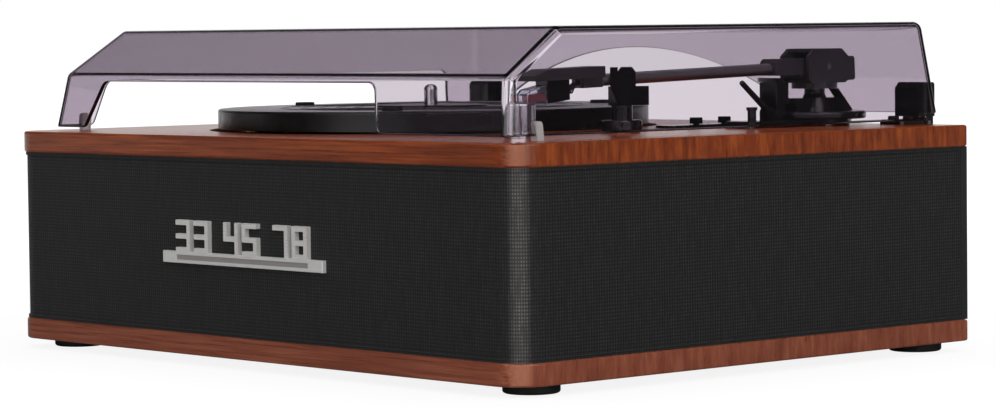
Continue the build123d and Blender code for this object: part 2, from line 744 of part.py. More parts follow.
# Which strokes of a digit are drawn: top, upper left, upper right, middle, lower left, lower right, foot
DIGIT_STROKES = {
    "3": (1, 0, 1, 1, 0, 1, 1),
    "4": (0, 1, 1, 1, 0, 1, 0),
    "5": (1, 1, 0, 1, 0, 1, 1),
    "7": (1, 0, 1, 0, 0, 1, 0),
    "8": (1, 1, 1, 1, 1, 1, 1),
}


def digit(character):
    """Block figure in the XZ plane, foot at the origin, extruded towards -Y."""
    top, upper_left, upper_right, middle, lower_left, lower_right, foot = DIGIT_STROKES[character]
    half = DIGIT_WIDTH / 2
    waist = DIGIT_HEIGHT * 0.5
    bars = []

    def bar(x0, x1, z0, z1):
        bars.append(Pos((x0 + x1) / 2, (z0 + z1) / 2) * Rectangle(x1 - x0, z1 - z0))
    if top:
        bar(-half, half, DIGIT_HEIGHT - DIGIT_STROKE, DIGIT_HEIGHT)
    if middle:
        bar(-half, half, waist - DIGIT_STROKE / 2, waist + DIGIT_STROKE / 2)
    if foot:
        bar(-half, half, 0, DIGIT_STROKE)
    if upper_left:
        bar(-half, -half + DIGIT_STROKE, waist - DIGIT_STROKE / 2, DIGIT_HEIGHT)
    if upper_right:
        bar(half - DIGIT_STROKE, half, waist - DIGIT_STROKE / 2, DIGIT_HEIGHT)
    if lower_left:
        bar(-half, -half + DIGIT_STROKE, 0, waist + DIGIT_STROKE / 2)
    if lower_right:
        bar(half - DIGIT_STROKE, half, 0, waist + DIGIT_STROKE / 2)
    shape = bars[0]
    for extra in bars[1:]:
        shape += extra
    solid = extrude(shape, DIGIT_THICK)
    upright = Rot(90, 0, 0) * solid
    corners = upright.edges().filter_by(Axis.Y)
    tall = [edge for edge in corners if edge.length > DIGIT_THICK * 0.99]
    return fillet(tall, BADGE_EDGE)


def badge():
    """Badge in one casting: speed figures 33, 45 and 78 that stand on the bar."""
    figures = BADGE_TEXT.split()
    start = BADGE_X - FIGURE_PITCH * (len(figures) - 1) / 2 - DIGIT_PITCH / 2
    foot_z = badge_z() + BADGE_HEIGHT / 2 - DIGIT_ROOT
    shape = badge_bar()
    for place, figure in enumerate(figures):
        for index, character in enumerate(figure):
            x = start + place * FIGURE_PITCH + index * DIGIT_PITCH
            shape += Pos(x, CLOTH_FACE_Y, foot_z) * digit(character)
    return shape


def speaker_screw_places():
    """Four screws at the corners of each loudspeaker flange, on the baffle's back."""
    middle = (WALL_Z + BOARD_UNDER_Z) / 2
    reach = SPEAKER_FLANGE_SIDE / 2 - SPEAKER_SCREW_INSET
    places = []
    for side in (-1, 1):
        for dx in (-reach, reach):
            for dz in (-reach, reach):
                places.append((side * SPEAKER_X + dx, middle + dz))
    return places


def turned(points, x, y, z):
    """Solid of revolution about +Y from (radius, depth) points, placed on the speaker axis."""
    solid = revolve(make_face(Polyline(*points, close=True)), Axis.Y, 360)
    return Pos(x, y, z) * solid


def speaker_frame(side):
    """Square flange with a tapered basket that opens towards the magnet."""
    middle = (WALL_Z + BOARD_UNDER_Z) / 2
    x = side * SPEAKER_X
    half = SPEAKER_FLANGE_SIDE / 2
    back = BAFFLE_BACK_Y + SPEAKER_FLANGE_THICK
    flange = block(x - half, x + half, BAFFLE_BACK_Y, back, middle - half, middle + half)
    flange = fillet(flange.edges().filter_by(Axis.Y), SPEAKER_FLANGE_CORNER)
    flange -= rod_y(SPEAKER_HOLE_RADIUS - SPEAKER_WALL, BAFFLE_BACK_Y - 1, back + 1, x, middle)
    mouth = SPEAKER_HOLE_RADIUS
    rear = SPEAKER_BACK_RADIUS
    end = SPEAKER_DEPTH
    basket = turned([(mouth - SPEAKER_WALL, SPEAKER_FLANGE_THICK), (mouth, SPEAKER_FLANGE_THICK),
                     (rear, end), (CONE_NECK_RADIUS + 3, end), (CONE_NECK_RADIUS + 3, end - SPEAKER_WALL),
                     (rear - SPEAKER_WALL, end - SPEAKER_WALL)], x, BAFFLE_BACK_Y, middle)
    terminal_z = speaker_terminal_z()
    half = TERMINAL_WIDTH / 2
    terminal = block(x - half, x + half, back - 1, back + TERMINAL_DEPTH,
                     terminal_z - TERMINAL_HEIGHT / 2, terminal_z + TERMINAL_HEIGHT / 2)
    frame = flange + basket + terminal
    for sx, sz in speaker_screw_places():
        if sx * side > 0:
            frame -= rod_y(SCREW_RADIUS + SCREW_FIT, BAFFLE_BACK_Y - 1, back + 1, sx, sz)
    return frame


def speaker_cone(side):
    """Paper cone with a half-roll surround and a dust cap."""
    middle = (WALL_Z + BOARD_UNDER_Z) / 2
    x = side * SPEAKER_X
    rim = SPEAKER_HOLE_RADIUS - SPEAKER_WALL
    neck = CONE_NECK_RADIUS
    edge = rim - CONE_ROLL_WIDTH
    back = CONE_DEPTH
    cone = turned([(rim, 0), (rim, CONE_WALL), (edge, CONE_WALL), (neck, back), (0, back),
                   (0, back - CONE_WALL), (neck, back - CONE_WALL * 2.2), (edge, 0)], x, BAFFLE_BACK_Y, middle)
    roll_ring = Torus(edge + CONE_WALL, CONE_ROLL_RADIUS)
    roll = Pos(x, BAFFLE_BACK_Y, middle) * Rot(90, 0, 0) * roll_ring
    roll &= rod_y(rim, BAFFLE_BACK_Y - 2 * CONE_ROLL_RADIUS, BAFFLE_BACK_Y, x, middle)
    return cone + roll


def speaker_magnet(side):
    """Ring magnet and back plate behind the basket."""
    middle = (WALL_Z + BOARD_UNDER_Z) / 2
    start = BAFFLE_BACK_Y + SPEAKER_DEPTH
    magnet = rod_y(MAGNET_RADIUS, start, start + MAGNET_THICK, side * SPEAKER_X, middle)
    return fillet(magnet.edges().filter_by(GeomType.CIRCLE), MAGNET_EDGE)


def bearing_bore_bottom():
    """Height of the thrust pad's top face."""
    return SHAFT_BOTTOM_Z - SEAT_GAP


def deck_tray():
    """Pan that closes the platter well from below and carries the bearing housing and the motor."""
    top = BOARD_UNDER_Z
    bottom = top - TRAY_THICK
    tray = rod(TRAY_RADIUS, bottom, top, PLATTER_X, PLATTER_Y)
    bush_radius = BEARING_SHAFT_RADIUS + SHAFT_FIT + BUSH_WALL
    housing = bush_radius + HOUSING_WALL
    floor_z = bearing_bore_bottom() - THRUST_THICK - HOUSING_WALL
    tray += rod(housing, floor_z, BUSH_TOP_Z, PLATTER_X, PLATTER_Y)
    tray -= rod(bush_radius, floor_z + HOUSING_WALL, BUSH_TOP_Z + 1, PLATTER_X, PLATTER_Y)
    tray -= rod(PULLEY_RADIUS + PULLEY_FLANGE + PULLEY_OPENING, bottom - 1, top + 1, MOTOR_X, MOTOR_Y)
    for x, y in grommet_places():
        tray -= rod(SCREW_RADIUS + SCREW_FIT, bottom - 1, top + 1, x, y)
    for x, y in tray_screw_places():
        tray -= rod(SCREW_RADIUS + SCREW_FIT, bottom - 1, top + 1, x, y)
    return tray


def bearing_bush():
    """Brass bush for the spindle."""
    outer = BEARING_SHAFT_RADIUS + SHAFT_FIT + BUSH_WALL
    bore = BEARING_SHAFT_RADIUS + SHAFT_FIT
    low = bearing_bore_bottom()
    return tube_between(outer, bore, low, BUSH_TOP_Z, PLATTER_X, PLATTER_Y)


def thrust_pad():
    """Nylon pad that the spindle's end turns on."""
    radius = BEARING_SHAFT_RADIUS + SHAFT_FIT + BUSH_WALL
    top = bearing_bore_bottom()
    return rod(radius, top - THRUST_THICK, top, PLATTER_X, PLATTER_Y)


def spindle():
    """Steel spindle: centre pin above the platter, a thicker shank in its hub and the bearing shaft below."""
    shoulder_z = PLATTER_TOP_Z + LABEL_RISE
    pin = rod(SPINDLE_RADIUS, shoulder_z, PLATTER_TOP_Z + SPINDLE_RISE, PLATTER_X, PLATTER_Y)
    pin = fillet(pin.edges().group_by(Axis.Z)[-1], SPINDLE_DOME)
    shank = rod(SPINDLE_SHANK_RADIUS, HUB_BOTTOM_Z, shoulder_z, PLATTER_X, PLATTER_Y)
    shaft = rod(BEARING_SHAFT_RADIUS, SHAFT_BOTTOM_Z, HUB_BOTTOM_Z, PLATTER_X, PLATTER_Y)
    shaft = chamfer(shaft.edges().group_by(Axis.Z)[0], SHAFT_END_BEVEL)
    return pin + shank + shaft


def platter():
    """Moulded platter with a skirt, a drive ring for the belt and a hub on the spindle."""
    web = rod(PLATTER_RADIUS, PLATTER_WEB_Z, PLATTER_TOP_Z)
    web = fillet(web.edges().group_by(Axis.Z)[-1], PLATTER_EDGE)
    low = PLATTER_TOP_Z - PLATTER_RIM_HEIGHT
    skirt = tube_between(PLATTER_RADIUS, PLATTER_RADIUS - PLATTER_SKIRT, low, PLATTER_WEB_Z)
    ring_low = PLATTER_WEB_Z - DRIVE_RING_DROP
    ring = tube_between(DRIVE_RING_RADIUS, DRIVE_RING_RADIUS - DRIVE_RING_WALL, ring_low, PLATTER_WEB_Z)
    hub = rod(HUB_RADIUS, HUB_BOTTOM_Z, PLATTER_WEB_Z)
    label = rod(LABEL_RADIUS, PLATTER_TOP_Z, PLATTER_TOP_Z + LABEL_RISE)
    label = fillet(label.edges().group_by(Axis.Z)[-1], LABEL_RISE * 0.5)
    body = web + skirt + ring + hub + label
    for index in range(RIB_COUNT):
        rib = block(HUB_RADIUS - 1, DRIVE_RING_RADIUS - 1, -RIB_THICK / 2, RIB_THICK / 2,
                    PLATTER_WEB_Z - RIB_DROP, PLATTER_WEB_Z)
        body += Rot(0, 0, 360 * index / RIB_COUNT) * rib
    body -= rod(SPINDLE_SHANK_RADIUS, HUB_BOTTOM_Z - 1, PLATTER_TOP_Z + LABEL_RISE + 1)
    return Pos(PLATTER_X, PLATTER_Y, 0) * body


def record_pads():
    """Raised rubber pads that a record lies on."""
    pads = []
    for index in range(PAD_COUNT):
        angle = radians(PAD_START + 360 * index / PAD_COUNT)
        x = PLATTER_X + PAD_CIRCLE * cos(angle)
        y = PLATTER_Y + PAD_CIRCLE * sin(angle)
        pad = rod(PAD_RADIUS, PLATTER_TOP_Z, PLATTER_TOP_Z + PAD_HEIGHT, x, y)
        pads.append(fillet(pad.edges().group_by(Axis.Z)[-1], PAD_EDGE))
    return joined(pads)


def belt_loop(clearance):
    """Outline of the belt's path round the drive ring and the pulley, grown by a clearance."""
    big = DRIVE_RING_RADIUS + clearance
    small = PULLEY_RADIUS + clearance
    lean = acos((big - small) / MOTOR_DISTANCE)
    big_top = (big * cos(lean), big * sin(lean))
    big_low = (big * cos(lean), -big * sin(lean))
    small_top = (MOTOR_DISTANCE + small * cos(lean), small * sin(lean))
    small_low = (MOTOR_DISTANCE + small * cos(lean), -small * sin(lean))
    edges = [
        ThreePointArc(big_top, (-big, 0), big_low),
        Line(big_low, small_low),
        ThreePointArc(small_low, (MOTOR_DISTANCE + small, 0), small_top),
        Line(small_top, big_top),
    ]
    return make_face(edges)


def drive_belt():
    """Flat rubber belt round the drive ring and the motor pulley."""
    section = belt_loop(BELT_GAP + BELT_THICK) - belt_loop(BELT_GAP)
    belt = extrude(section, BELT_WIDTH)
    return Pos(PLATTER_X, PLATTER_Y, BELT_Z) * Rot(0, 0, MOTOR_ANGLE) * belt


def motor_top_z():
    """Top of the motor's mounting ears."""
    return BOARD_UNDER_Z - TRAY_THICK - GROMMET_THICK


def grommet_places():
    """Three mounting points round the motor."""
    ring = MOTOR_EAR_RADIUS - GROMMET_RADIUS
    places = []
    for index in range(3):
        angle = radians(MOTOR_ANGLE + 60 + 120 * index)
        places.append((MOTOR_X + ring * cos(angle), MOTOR_Y + ring * sin(angle)))
    return places


def motor():
    """Direct-current motor can with its round mounting ear."""
    ear_top = motor_top_z()
    ear_low = ear_top - MOTOR_EAR_THICK
    can = rod(MOTOR_RADIUS, ear_low - MOTOR_LENGTH, ear_low, MOTOR_X, MOTOR_Y)
    can = fillet(can.edges().group_by(Axis.Z)[0], MOTOR_EDGE)
    body = can + rod(MOTOR_EAR_RADIUS, ear_low, ear_top, MOTOR_X, MOTOR_Y)
    bore_low = ear_low - MOTOR_LENGTH + MOTOR_END
    body -= rod(MOTOR_SHAFT_RADIUS + SHAFT_FIT, bore_low, ear_top + 1, MOTOR_X, MOTOR_Y)
    for x, y in grommet_places():
        body -= rod(SCREW_RADIUS + SCREW_FIT, ear_low - 1, ear_top + 1, x, y)
    return body


def motor_grommets():
    """Rubber rings between the motor and the tray."""
    low = motor_top_z()
    bore = SCREW_RADIUS + SCREW_FIT
    return joined([tube_between(GROMMET_RADIUS, bore, low, low + GROMMET_THICK, x, y)
                   for x, y in grommet_places()])


def motor_screws():
    """Screws through the ear and grommets into the tray."""
    z = motor_top_z() - MOTOR_EAR_THICK
    length = MOTOR_EAR_THICK + GROMMET_THICK + TRAY_THICK
    return joined([screw((0, 0, -1), x, y, z, length) for x, y in grommet_places()])


def motor_pulley():
    """Brass pulley and its shaft."""
    low = BELT_Z - PULLEY_FLANGE - BELT_GAP
    top = BELT_Z + BELT_WIDTH + BELT_GAP + PULLEY_FLANGE
    pulley = rod(PULLEY_RADIUS, low, top, MOTOR_X, MOTOR_Y)
    wide = PULLEY_RADIUS + PULLEY_FLANGE
    pulley += rod(wide, low, low + PULLEY_FLANGE, MOTOR_X, MOTOR_Y)
    pulley += rod(wide, top - PULLEY_FLANGE, top, MOTOR_X, MOTOR_Y)
    shaft_low = motor_low_z() + MOTOR_END + SEAT_GAP
    return pulley + rod(MOTOR_SHAFT_RADIUS, shaft_low, top + 1, MOTOR_X, MOTOR_Y)


def along_arm(distance, side=0.0):
    """Point seen from above, a distance in front of the pivot and off to the right of the arm."""
    turn = radians(PIVOT_ANGLE)
    x = PIVOT_X + side * cos(turn) + distance * sin(turn)
    y = PIVOT_Y + side * sin(turn) - distance * cos(turn)
    return x, y


def at_pivot(shape):
    """Shape drawn with the arm along -Y and the pivot at the origin, turned to the rest angle."""
    return Pos(PIVOT_X, PIVOT_Y, 0) * Rot(0, 0, PIVOT_ANGLE) * shape


def on_arm(shape):
    """Shape drawn round the tube's own axis (tilt axis at the origin), sloped and turned to rest."""
    return at_pivot(Pos(0, 0, ARM_Z) * Rot(ARM_SLOPE, 0, 0) * shape)


def tube_z(distance):
    """Height of the tube's axis, a distance in front of the pivot."""
    return ARM_Z - distance * tan(radians(ARM_SLOPE))


def side_plate(points, x0, x1):
    """Plate between two sideways planes from an outline of (distance in front of pivot, height) points."""
    outline = make_face(Polyline(*[(0, -distance, height) for distance, height in points], close=True))
    return Pos(x0, 0, 0) * extrude(outline, x1 - x0, dir=(1, 0, 0))


def arm_base():
    """Round arm base with its boss, column, rear strut, and a front lug with the cue lever's ear."""
    neck_top = DECK_Z + ARM_BASE_NECK
    top = ARM_BASE_TOP_Z
    plate = rod(ARM_BASE_RADIUS, neck_top, top)
    plate = fillet(plate.edges().filter_by(GeomType.CIRCLE), ARM_BASE_EDGE)
    base = plate + rod(ARM_BASE_NECK_RADIUS, DECK_Z, neck_top)
    half = BOSS_WIDTH / 2
    base += block(-half, half, -BOSS_FRONT, BOSS_REAR, top, top + BOSS_HEIGHT)
    head_z = YOKE_DISC_Z - SWEEP_GAP
    foot = STRUT_REACH - STRUT_THICK
    base += side_plate([(-STRUT_REACH, top), (-STRUT_HEAD, head_z), (-STRUT_HEAD + STRUT_THICK, head_z),
                        (-foot, top)], -STRUT_WIDTH / 2, STRUT_WIDTH / 2)
    column_top = YOKE_DISC_Z - SEAT_GAP
    base += rod(COLUMN_RADIUS, BOARD_UNDER_Z - CLAMP_NUT_THICK - CLAMP_WASHER_THICK, column_top)
    cone = Cone(COLLAR_RADIUS, COLUMN_RADIUS, COLLAR_HEIGHT)
    base += Pos(0, 0, top + COLLAR_HEIGHT / 2) * cone
    lug = block(LUG_LEFT, LUG_RIGHT, -LUG_FRONT, 0, DECK_Z, neck_top)
    base += fillet(lug.edges().filter_by(Axis.Z).sort_by(Axis.Y)[:2], LUG_CORNER)
    ear_right = LEVER_SIDE - LEVER_HUB_THICK / 2 - SWEEP_GAP
    ear_reach = LEVER_HUB_RADIUS
    ear_left = ear_right - LEVER_EAR_THICK
    ear = block(ear_left, ear_right, -LEVER_DISTANCE - ear_reach, -LEVER_DISTANCE + ear_reach,
                neck_top, lever_z() + ear_reach)
    base += fillet(ear.edges().filter_by(Axis.X).sort_by(Axis.Z)[-2:], ear_reach * 0.9)
    base += rod(STOP_RADIUS, neck_top, DECK_Z + STOP_RISE, STOP_SIDE, -STOP_DISTANCE)
    cap_low = DECK_Z + STOP_RISE - STOP_CAP_THICK
    base += rod(STOP_CAP_RADIUS, cap_low, DECK_Z + STOP_RISE, STOP_SIDE, -STOP_DISTANCE)
    pin_end = LEVER_SIDE + LEVER_HUB_THICK / 2 + SWEEP_GAP
    base += rod_x(LEVER_PIN_RADIUS, ear_right, pin_end, -LEVER_DISTANCE, lever_z())
    base -= rod(YAW_SHAFT_RADIUS + SHAFT_FIT, column_top - YAW_SHAFT_LENGTH, column_top + 1)
    return at_pivot(base)


def lever_z():
    """Height of the cue lever's axis."""
    return DECK_Z + LEVER_RISE


def arm_nut():
    """Hexagon nut and washer that clamp the arm base's stem under the deck."""
    low = BOARD_UNDER_Z - CLAMP_NUT_THICK - CLAMP_WASHER_THICK
    nut = Pos(0, 0, low) * extrude(RegularPolygon(COLUMN_RADIUS + CLAMP_NUT_WIDTH, 6), CLAMP_NUT_THICK)
    nut -= rod(COLUMN_RADIUS, low - 1, BOARD_UNDER_Z)
    washer = tube_between(COLUMN_RADIUS + CLAMP_NUT_WIDTH + 2, COLUMN_RADIUS,
                          BOARD_UNDER_Z - CLAMP_WASHER_THICK, BOARD_UNDER_Z)
    return at_pivot(nut + washer)


def arm_yoke():
    """Yoke that turns on the column: round foot, floor, two chamfered cheeks, a bridge and the shaft."""
    top = ARM_Z + YOKE_TOP_ABOVE_AXIS
    half = YOKE_WIDTH / 2
    long_half = YOKE_LENGTH / 2
    short_half = YOKE_TOP_LENGTH / 2
    floor_top = YOKE_FLOOR_Z + YOKE_FLOOR
    outline = [(-YOKE_DISC_RADIUS, YOKE_FLOOR_Z), (-long_half, floor_top), (-long_half, top - YOKE_SLANT),
               (-short_half, top), (short_half, top), (long_half, top - YOKE_SLANT),
               (long_half, floor_top), (YOKE_DISC_RADIUS, YOKE_FLOOR_Z)]
    yoke = rod(YOKE_DISC_RADIUS, YOKE_DISC_Z, YOKE_FLOOR_Z)
    floor_reach = YOKE_DISC_RADIUS
    yoke += block(-half, half, -floor_reach, floor_reach, YOKE_FLOOR_Z, floor_top)
    yoke += side_plate(outline, -half, -half + YOKE_CHEEK)
    yoke += side_plate(outline, half - YOKE_CHEEK, half)
    yoke += block(-half, half, -short_half, short_half, top - YOKE_BRIDGE, top)
    yoke += rod(YAW_SHAFT_RADIUS, YOKE_DISC_Z - YAW_SHAFT_LENGTH + 1, YOKE_DISC_Z)
    yoke -= rod_x(PITCH_PIN_RADIUS, -half - 1, half + 1, 0, ARM_Z)
    return at_pivot(yoke)


def pitch_pins():
    """Two pins in the cheeks that the arm tilts on."""
    half = YOKE_WIDTH / 2
    inner = half - YOKE_CHEEK - PITCH_PIN_SOCKET
    right = rod_x(PITCH_PIN_RADIUS, inner, half + SWEEP_GAP, 0, ARM_Z)
    left = rod_x(PITCH_PIN_RADIUS, -half - SWEEP_GAP, -inner, 0, ARM_Z)
    return joined([at_pivot(right), at_pivot(left)])


def gimbal():
    """Block between the cheeks that holds the tube in front and the weight's stub behind."""
    half = GIMBAL_WIDTH / 2
    inside = YOKE_WIDTH / 2 - YOKE_CHEEK - SWEEP_GAP
    low_front = gimbal_low_z()
    low_rear = YOKE_FLOOR_Z + YOKE_FLOOR + 3 * SWEEP_GAP
    top = ARM_Z + GIMBAL_TOP_ABOVE_AXIS
    bevel = GIMBAL_BEVEL
    shape = side_plate([(-GIMBAL_REAR, low_rear), (GIMBAL_STEP, low_rear), (GIMBAL_STEP, low_front),
                        (GIMBAL_FRONT, low_front), (GIMBAL_FRONT, top - bevel), (GIMBAL_FRONT - bevel, top),
                        (-GIMBAL_REAR + bevel, top), (-GIMBAL_REAR, top - bevel)], -half, half)
    shape += rod_x(PITCH_BOSS_RADIUS, -inside, inside, 0, ARM_Z)
    socket = YOKE_WIDTH / 2 - YOKE_CHEEK - PITCH_PIN_SOCKET - SWEEP_GAP
    bore = PITCH_PIN_RADIUS + SHAFT_FIT
    shape -= rod_x(bore, socket, inside + 1, 0, ARM_Z)
    shape -= rod_x(bore, -inside - 1, -socket, 0, ARM_Z)
    seat = rod_y(TUBE_RADIUS, -GIMBAL_FRONT - 2, -GIMBAL_FRONT + TUBE_SOCKET, 0, 0)
    stub = rod_y(WEIGHT_STUB_RADIUS, GIMBAL_REAR - TUBE_SOCKET / 2, GIMBAL_REAR + 2, 0, -WEIGHT_DROP)
    return at_pivot(shape) - on_arm(seat) - on_arm(stub)


def arm_tube():
    """Straight aluminium tube from the gimbal to the headshell."""
    front = -HEADSHELL_REAR - SOCKET_LENGTH
    rear = -GIMBAL_FRONT + TUBE_SOCKET
    shape = rod_y(TUBE_RADIUS, front, rear, 0, 0)
    return on_arm(shape - rod_y(TUBE_RADIUS - TUBE_WALL, front - 1, rear + 1, 0, 0))


def headshell():
    """Headshell: sloped nose, hollow underside and a socket round the tube."""
    half = HEADSHELL_WIDTH / 2
    front = HEADSHELL_FRONT
    shape = side_plate([(HEADSHELL_REAR, HEADSHELL_LOW), (HEADSHELL_REAR, HEADSHELL_TOP),
                        (front - HEADSHELL_NOSE, HEADSHELL_TOP), (front, HEADSHELL_NOSE_TOP),
                        (front, HEADSHELL_LOW)], -half, half)
    shape = fillet(shape.edges().filter_by(Axis.X).sort_by(Axis.Z)[-2:], HEADSHELL_EDGE)
    inside = half - HEADSHELL_WALL
    shape -= block(-inside, inside, -front + HEADSHELL_NOSE, -HEADSHELL_REAR - SOCKET_LENGTH,
                   HEADSHELL_LOW - 1, HEADSHELL_TOP - HEADSHELL_WALL)
    collar = block(-TUBE_RADIUS - HEADSHELL_WALL, TUBE_RADIUS + HEADSHELL_WALL,
                   -HEADSHELL_REAR - SOCKET_LENGTH, -HEADSHELL_REAR,
                   -TUBE_RADIUS - SWEEP_GAP, HEADSHELL_LOW + 1)
    shape += collar
    shape -= rod_y(TUBE_RADIUS, -HEADSHELL_REAR - SOCKET_LENGTH, -HEADSHELL_REAR + 1, 0, 0)
    return on_arm(shape)


def cartridge():
    """Cartridge body under the headshell, deeper at its front."""
    half = CARTRIDGE_WIDTH / 2
    top = HEADSHELL_TOP - HEADSHELL_WALL
    body = side_plate([(CARTRIDGE_REAR, -CARTRIDGE_REAR_DROP), (CARTRIDGE_REAR, top), (CARTRIDGE_FRONT, top),
                       (CARTRIDGE_FRONT, -CARTRIDGE_FRONT_DROP)], -half, half)
    return on_arm(body)


def guard_low():
    """Underside of the stylus guard below the tube's axis, level with the guard's front end."""
    return DECK_Z + GUARD_RISE - tube_z(GUARD_FRONT)


def stylus_guard():
    """Clear hood in front of the cartridge, open below and behind, round the stylus holder."""
    half = GUARD_WIDTH / 2
    low = guard_low()
    hood = side_plate([(CARTRIDGE_FRONT, low), (CARTRIDGE_FRONT, -GUARD_TOP_DROP),
                       (GUARD_FRONT - 2, -GUARD_FRONT_DROP), (GUARD_FRONT, -GUARD_FRONT_DROP - 2),
                       (GUARD_FRONT, low)], -half, half)
    inner = half - GUARD_WALL
    wall = GUARD_WALL
    room = side_plate([(CARTRIDGE_FRONT - 1, low - 1), (CARTRIDGE_FRONT - 1, -GUARD_TOP_DROP - wall),
                       (CARTRIDGE_FRONT, -GUARD_TOP_DROP - wall), (GUARD_FRONT - 2 - wall, -GUARD_FRONT_DROP - wall),
                       (GUARD_FRONT - wall, -GUARD_FRONT_DROP - 2 - wall), (GUARD_FRONT - wall, low - 1)],
                      -inner, inner)
    return on_arm(hood - room)


def stylus():
    """Red stylus holder with its tip."""
    half = STYLUS_WIDTH / 2
    tip_low = DECK_Z + STYLUS_TIP_RISE - tube_z(STYLUS_TIP_DISTANCE)
    low = tip_low + 1.0
    holder = side_plate([(CARTRIDGE_FRONT, low + 0.5), (CARTRIDGE_FRONT, -STYLUS_TOP_DROP),
                         (STYLUS_FRONT, -STYLUS_TOP_DROP - 0.6), (STYLUS_FRONT, low + 1.2),
                         (STYLUS_FRONT - 1, low)], -half, half)
    height = low + 0.5 - tip_low
    point = Cone(STYLUS_TIP_RADIUS, STYLUS_TIP_RADIUS / 3, height, rotation=(180, 0, 0))
    tip = Pos(0, -STYLUS_TIP_DISTANCE, tip_low + height / 2) * point
    return on_arm(holder + tip)


def cartridge_leads():
    """Four thin leads from the cartridge's rear pins to the headshell's socket."""
    leads = []
    start_y = -CARTRIDGE_REAR
    end_y = -HEADSHELL_REAR - SOCKET_LENGTH
    low = -CARTRIDGE_REAR_DROP + LEAD_RISE
    high = -TUBE_RADIUS / 3
    straight = (end_y - start_y) * LEAD_STRAIGHT
    for index in range(LEAD_COUNT):
        place = index - (LEAD_COUNT - 1) / 2
        x = place * LEAD_PITCH
        end_x = place * LEAD_END_PITCH
        path = FilletPolyline((x, start_y, low), (x, start_y + straight, low), (end_x, end_y - straight, high),
                              (end_x, end_y, high), radius=LEAD_BEND)
        section = Plane(origin=(x, start_y, low), z_dir=(0, 1, 0)) * Circle(LEAD_RADIUS)
        leads.append(on_arm(sweep(section, path)))
    return joined(leads)


def counterweight():
    """Square counterweight on its stub behind the gimbal."""
    half = WEIGHT_SIDE / 2
    rear = WEIGHT_FRONT + WEIGHT_LENGTH
    weight = block(-half, half, WEIGHT_FRONT, rear, -WEIGHT_DROP - half, -WEIGHT_DROP + half)
    weight = chamfer(weight.edges(), WEIGHT_EDGE)
    stub = rod_y(WEIGHT_STUB_RADIUS, GIMBAL_REAR - TUBE_SOCKET / 2, WEIGHT_FRONT, 0, -WEIGHT_DROP)
    return on_arm(weight + stub)


def arm_rest():
    """Arm rest: round base, post, shelf under the tube and a horn on the side away from the platter."""
    base = rod(REST_BASE_RADIUS, DECK_Z, DECK_Z + REST_BASE_HEIGHT, 0, -REST_DISTANCE)
    base = fillet(base.edges().group_by(Axis.Z)[-1], REST_BASE_EDGE)
    shelf_top = tube_z(REST_SHELF_FRONT) - TUBE_RADIUS - 2 * SWEEP_GAP
    shelf_low = shelf_top - REST_SHELF_THICK
    post = rod(REST_POST_RADIUS, DECK_Z + REST_BASE_HEIGHT, shelf_top, 0, -REST_DISTANCE)
    inner = TUBE_RADIUS + SWEEP_GAP
    outer = inner + REST_HORN_THICK
    shelf = block(-REST_POST_RADIUS + 1, outer, -REST_SHELF_FRONT, -REST_SHELF_REAR, shelf_low, shelf_top)
    horn_top = tube_z(REST_DISTANCE) + REST_HORN_ABOVE_TUBE
    nub = REST_HORN_FRONT - REST_NUB
    horn = side_plate([(REST_HORN_REAR, shelf_low), (REST_HORN_REAR, horn_top - REST_HORN_ROUND),
                       (REST_HORN_REAR + REST_HORN_ROUND, horn_top), (nub - REST_NOTCH * 2, horn_top),
                       (nub - REST_NOTCH, horn_top - REST_NOTCH), (nub, horn_top - REST_NOTCH), (nub, horn_top),
                       (REST_HORN_FRONT, horn_top), (REST_HORN_FRONT, shelf_top),
                       (REST_SHELF_FRONT, shelf_low)], inner, outer)
    rest = base + post + shelf + horn
    rest += rod(REST_SPIGOT_RADIUS, DECK_Z - REST_SPIGOT_LENGTH, DECK_Z, 0, -REST_DISTANCE)
    return at_pivot(rest)


def lift_top_z():
    """Top of the lift bar when it is raised, a clearance under the gimbal's front."""
    return gimbal_low_z() - LIFT_CLEARANCE


def gimbal_low_z():
    """Underside of the gimbal's front part, just below the tube."""
    return tube_z(GIMBAL_FRONT) - TUBE_RADIUS - SWEEP_GAP


def lift_tower():
    """Fixed core that the lift's cap slides on, with a bore for the cap's stem."""
    inset = LIFT_WALL + LIFT_SLIDE_FIT
    half = LIFT_WIDTH / 2 - inset
    length = LIFT_LENGTH / 2 - inset
    roof = lift_top_z() - LIFT_BAR_THICK - LIFT_ROOF
    top = roof - LIFT_TRAVEL - SWEEP_GAP
    tower = block(-half, half, -LIFT_DISTANCE - length, -LIFT_DISTANCE + length, ARM_BASE_TOP_Z, top)
    reach = LIFT_DISTANCE + LIFT_LENGTH / 2
    tower += block(-half, half, -reach, -ARM_BASE_NECK_RADIUS, DECK_Z + ARM_BASE_NECK, ARM_BASE_TOP_Z)
    tower -= rod(ARM_BASE_RADIUS, DECK_Z, ARM_BASE_TOP_Z)
    tower -= rod(LIFT_STEM_RADIUS + SHAFT_FIT, ARM_BASE_TOP_Z, top + 1, 0, -LIFT_DISTANCE)
    return at_pivot(tower)


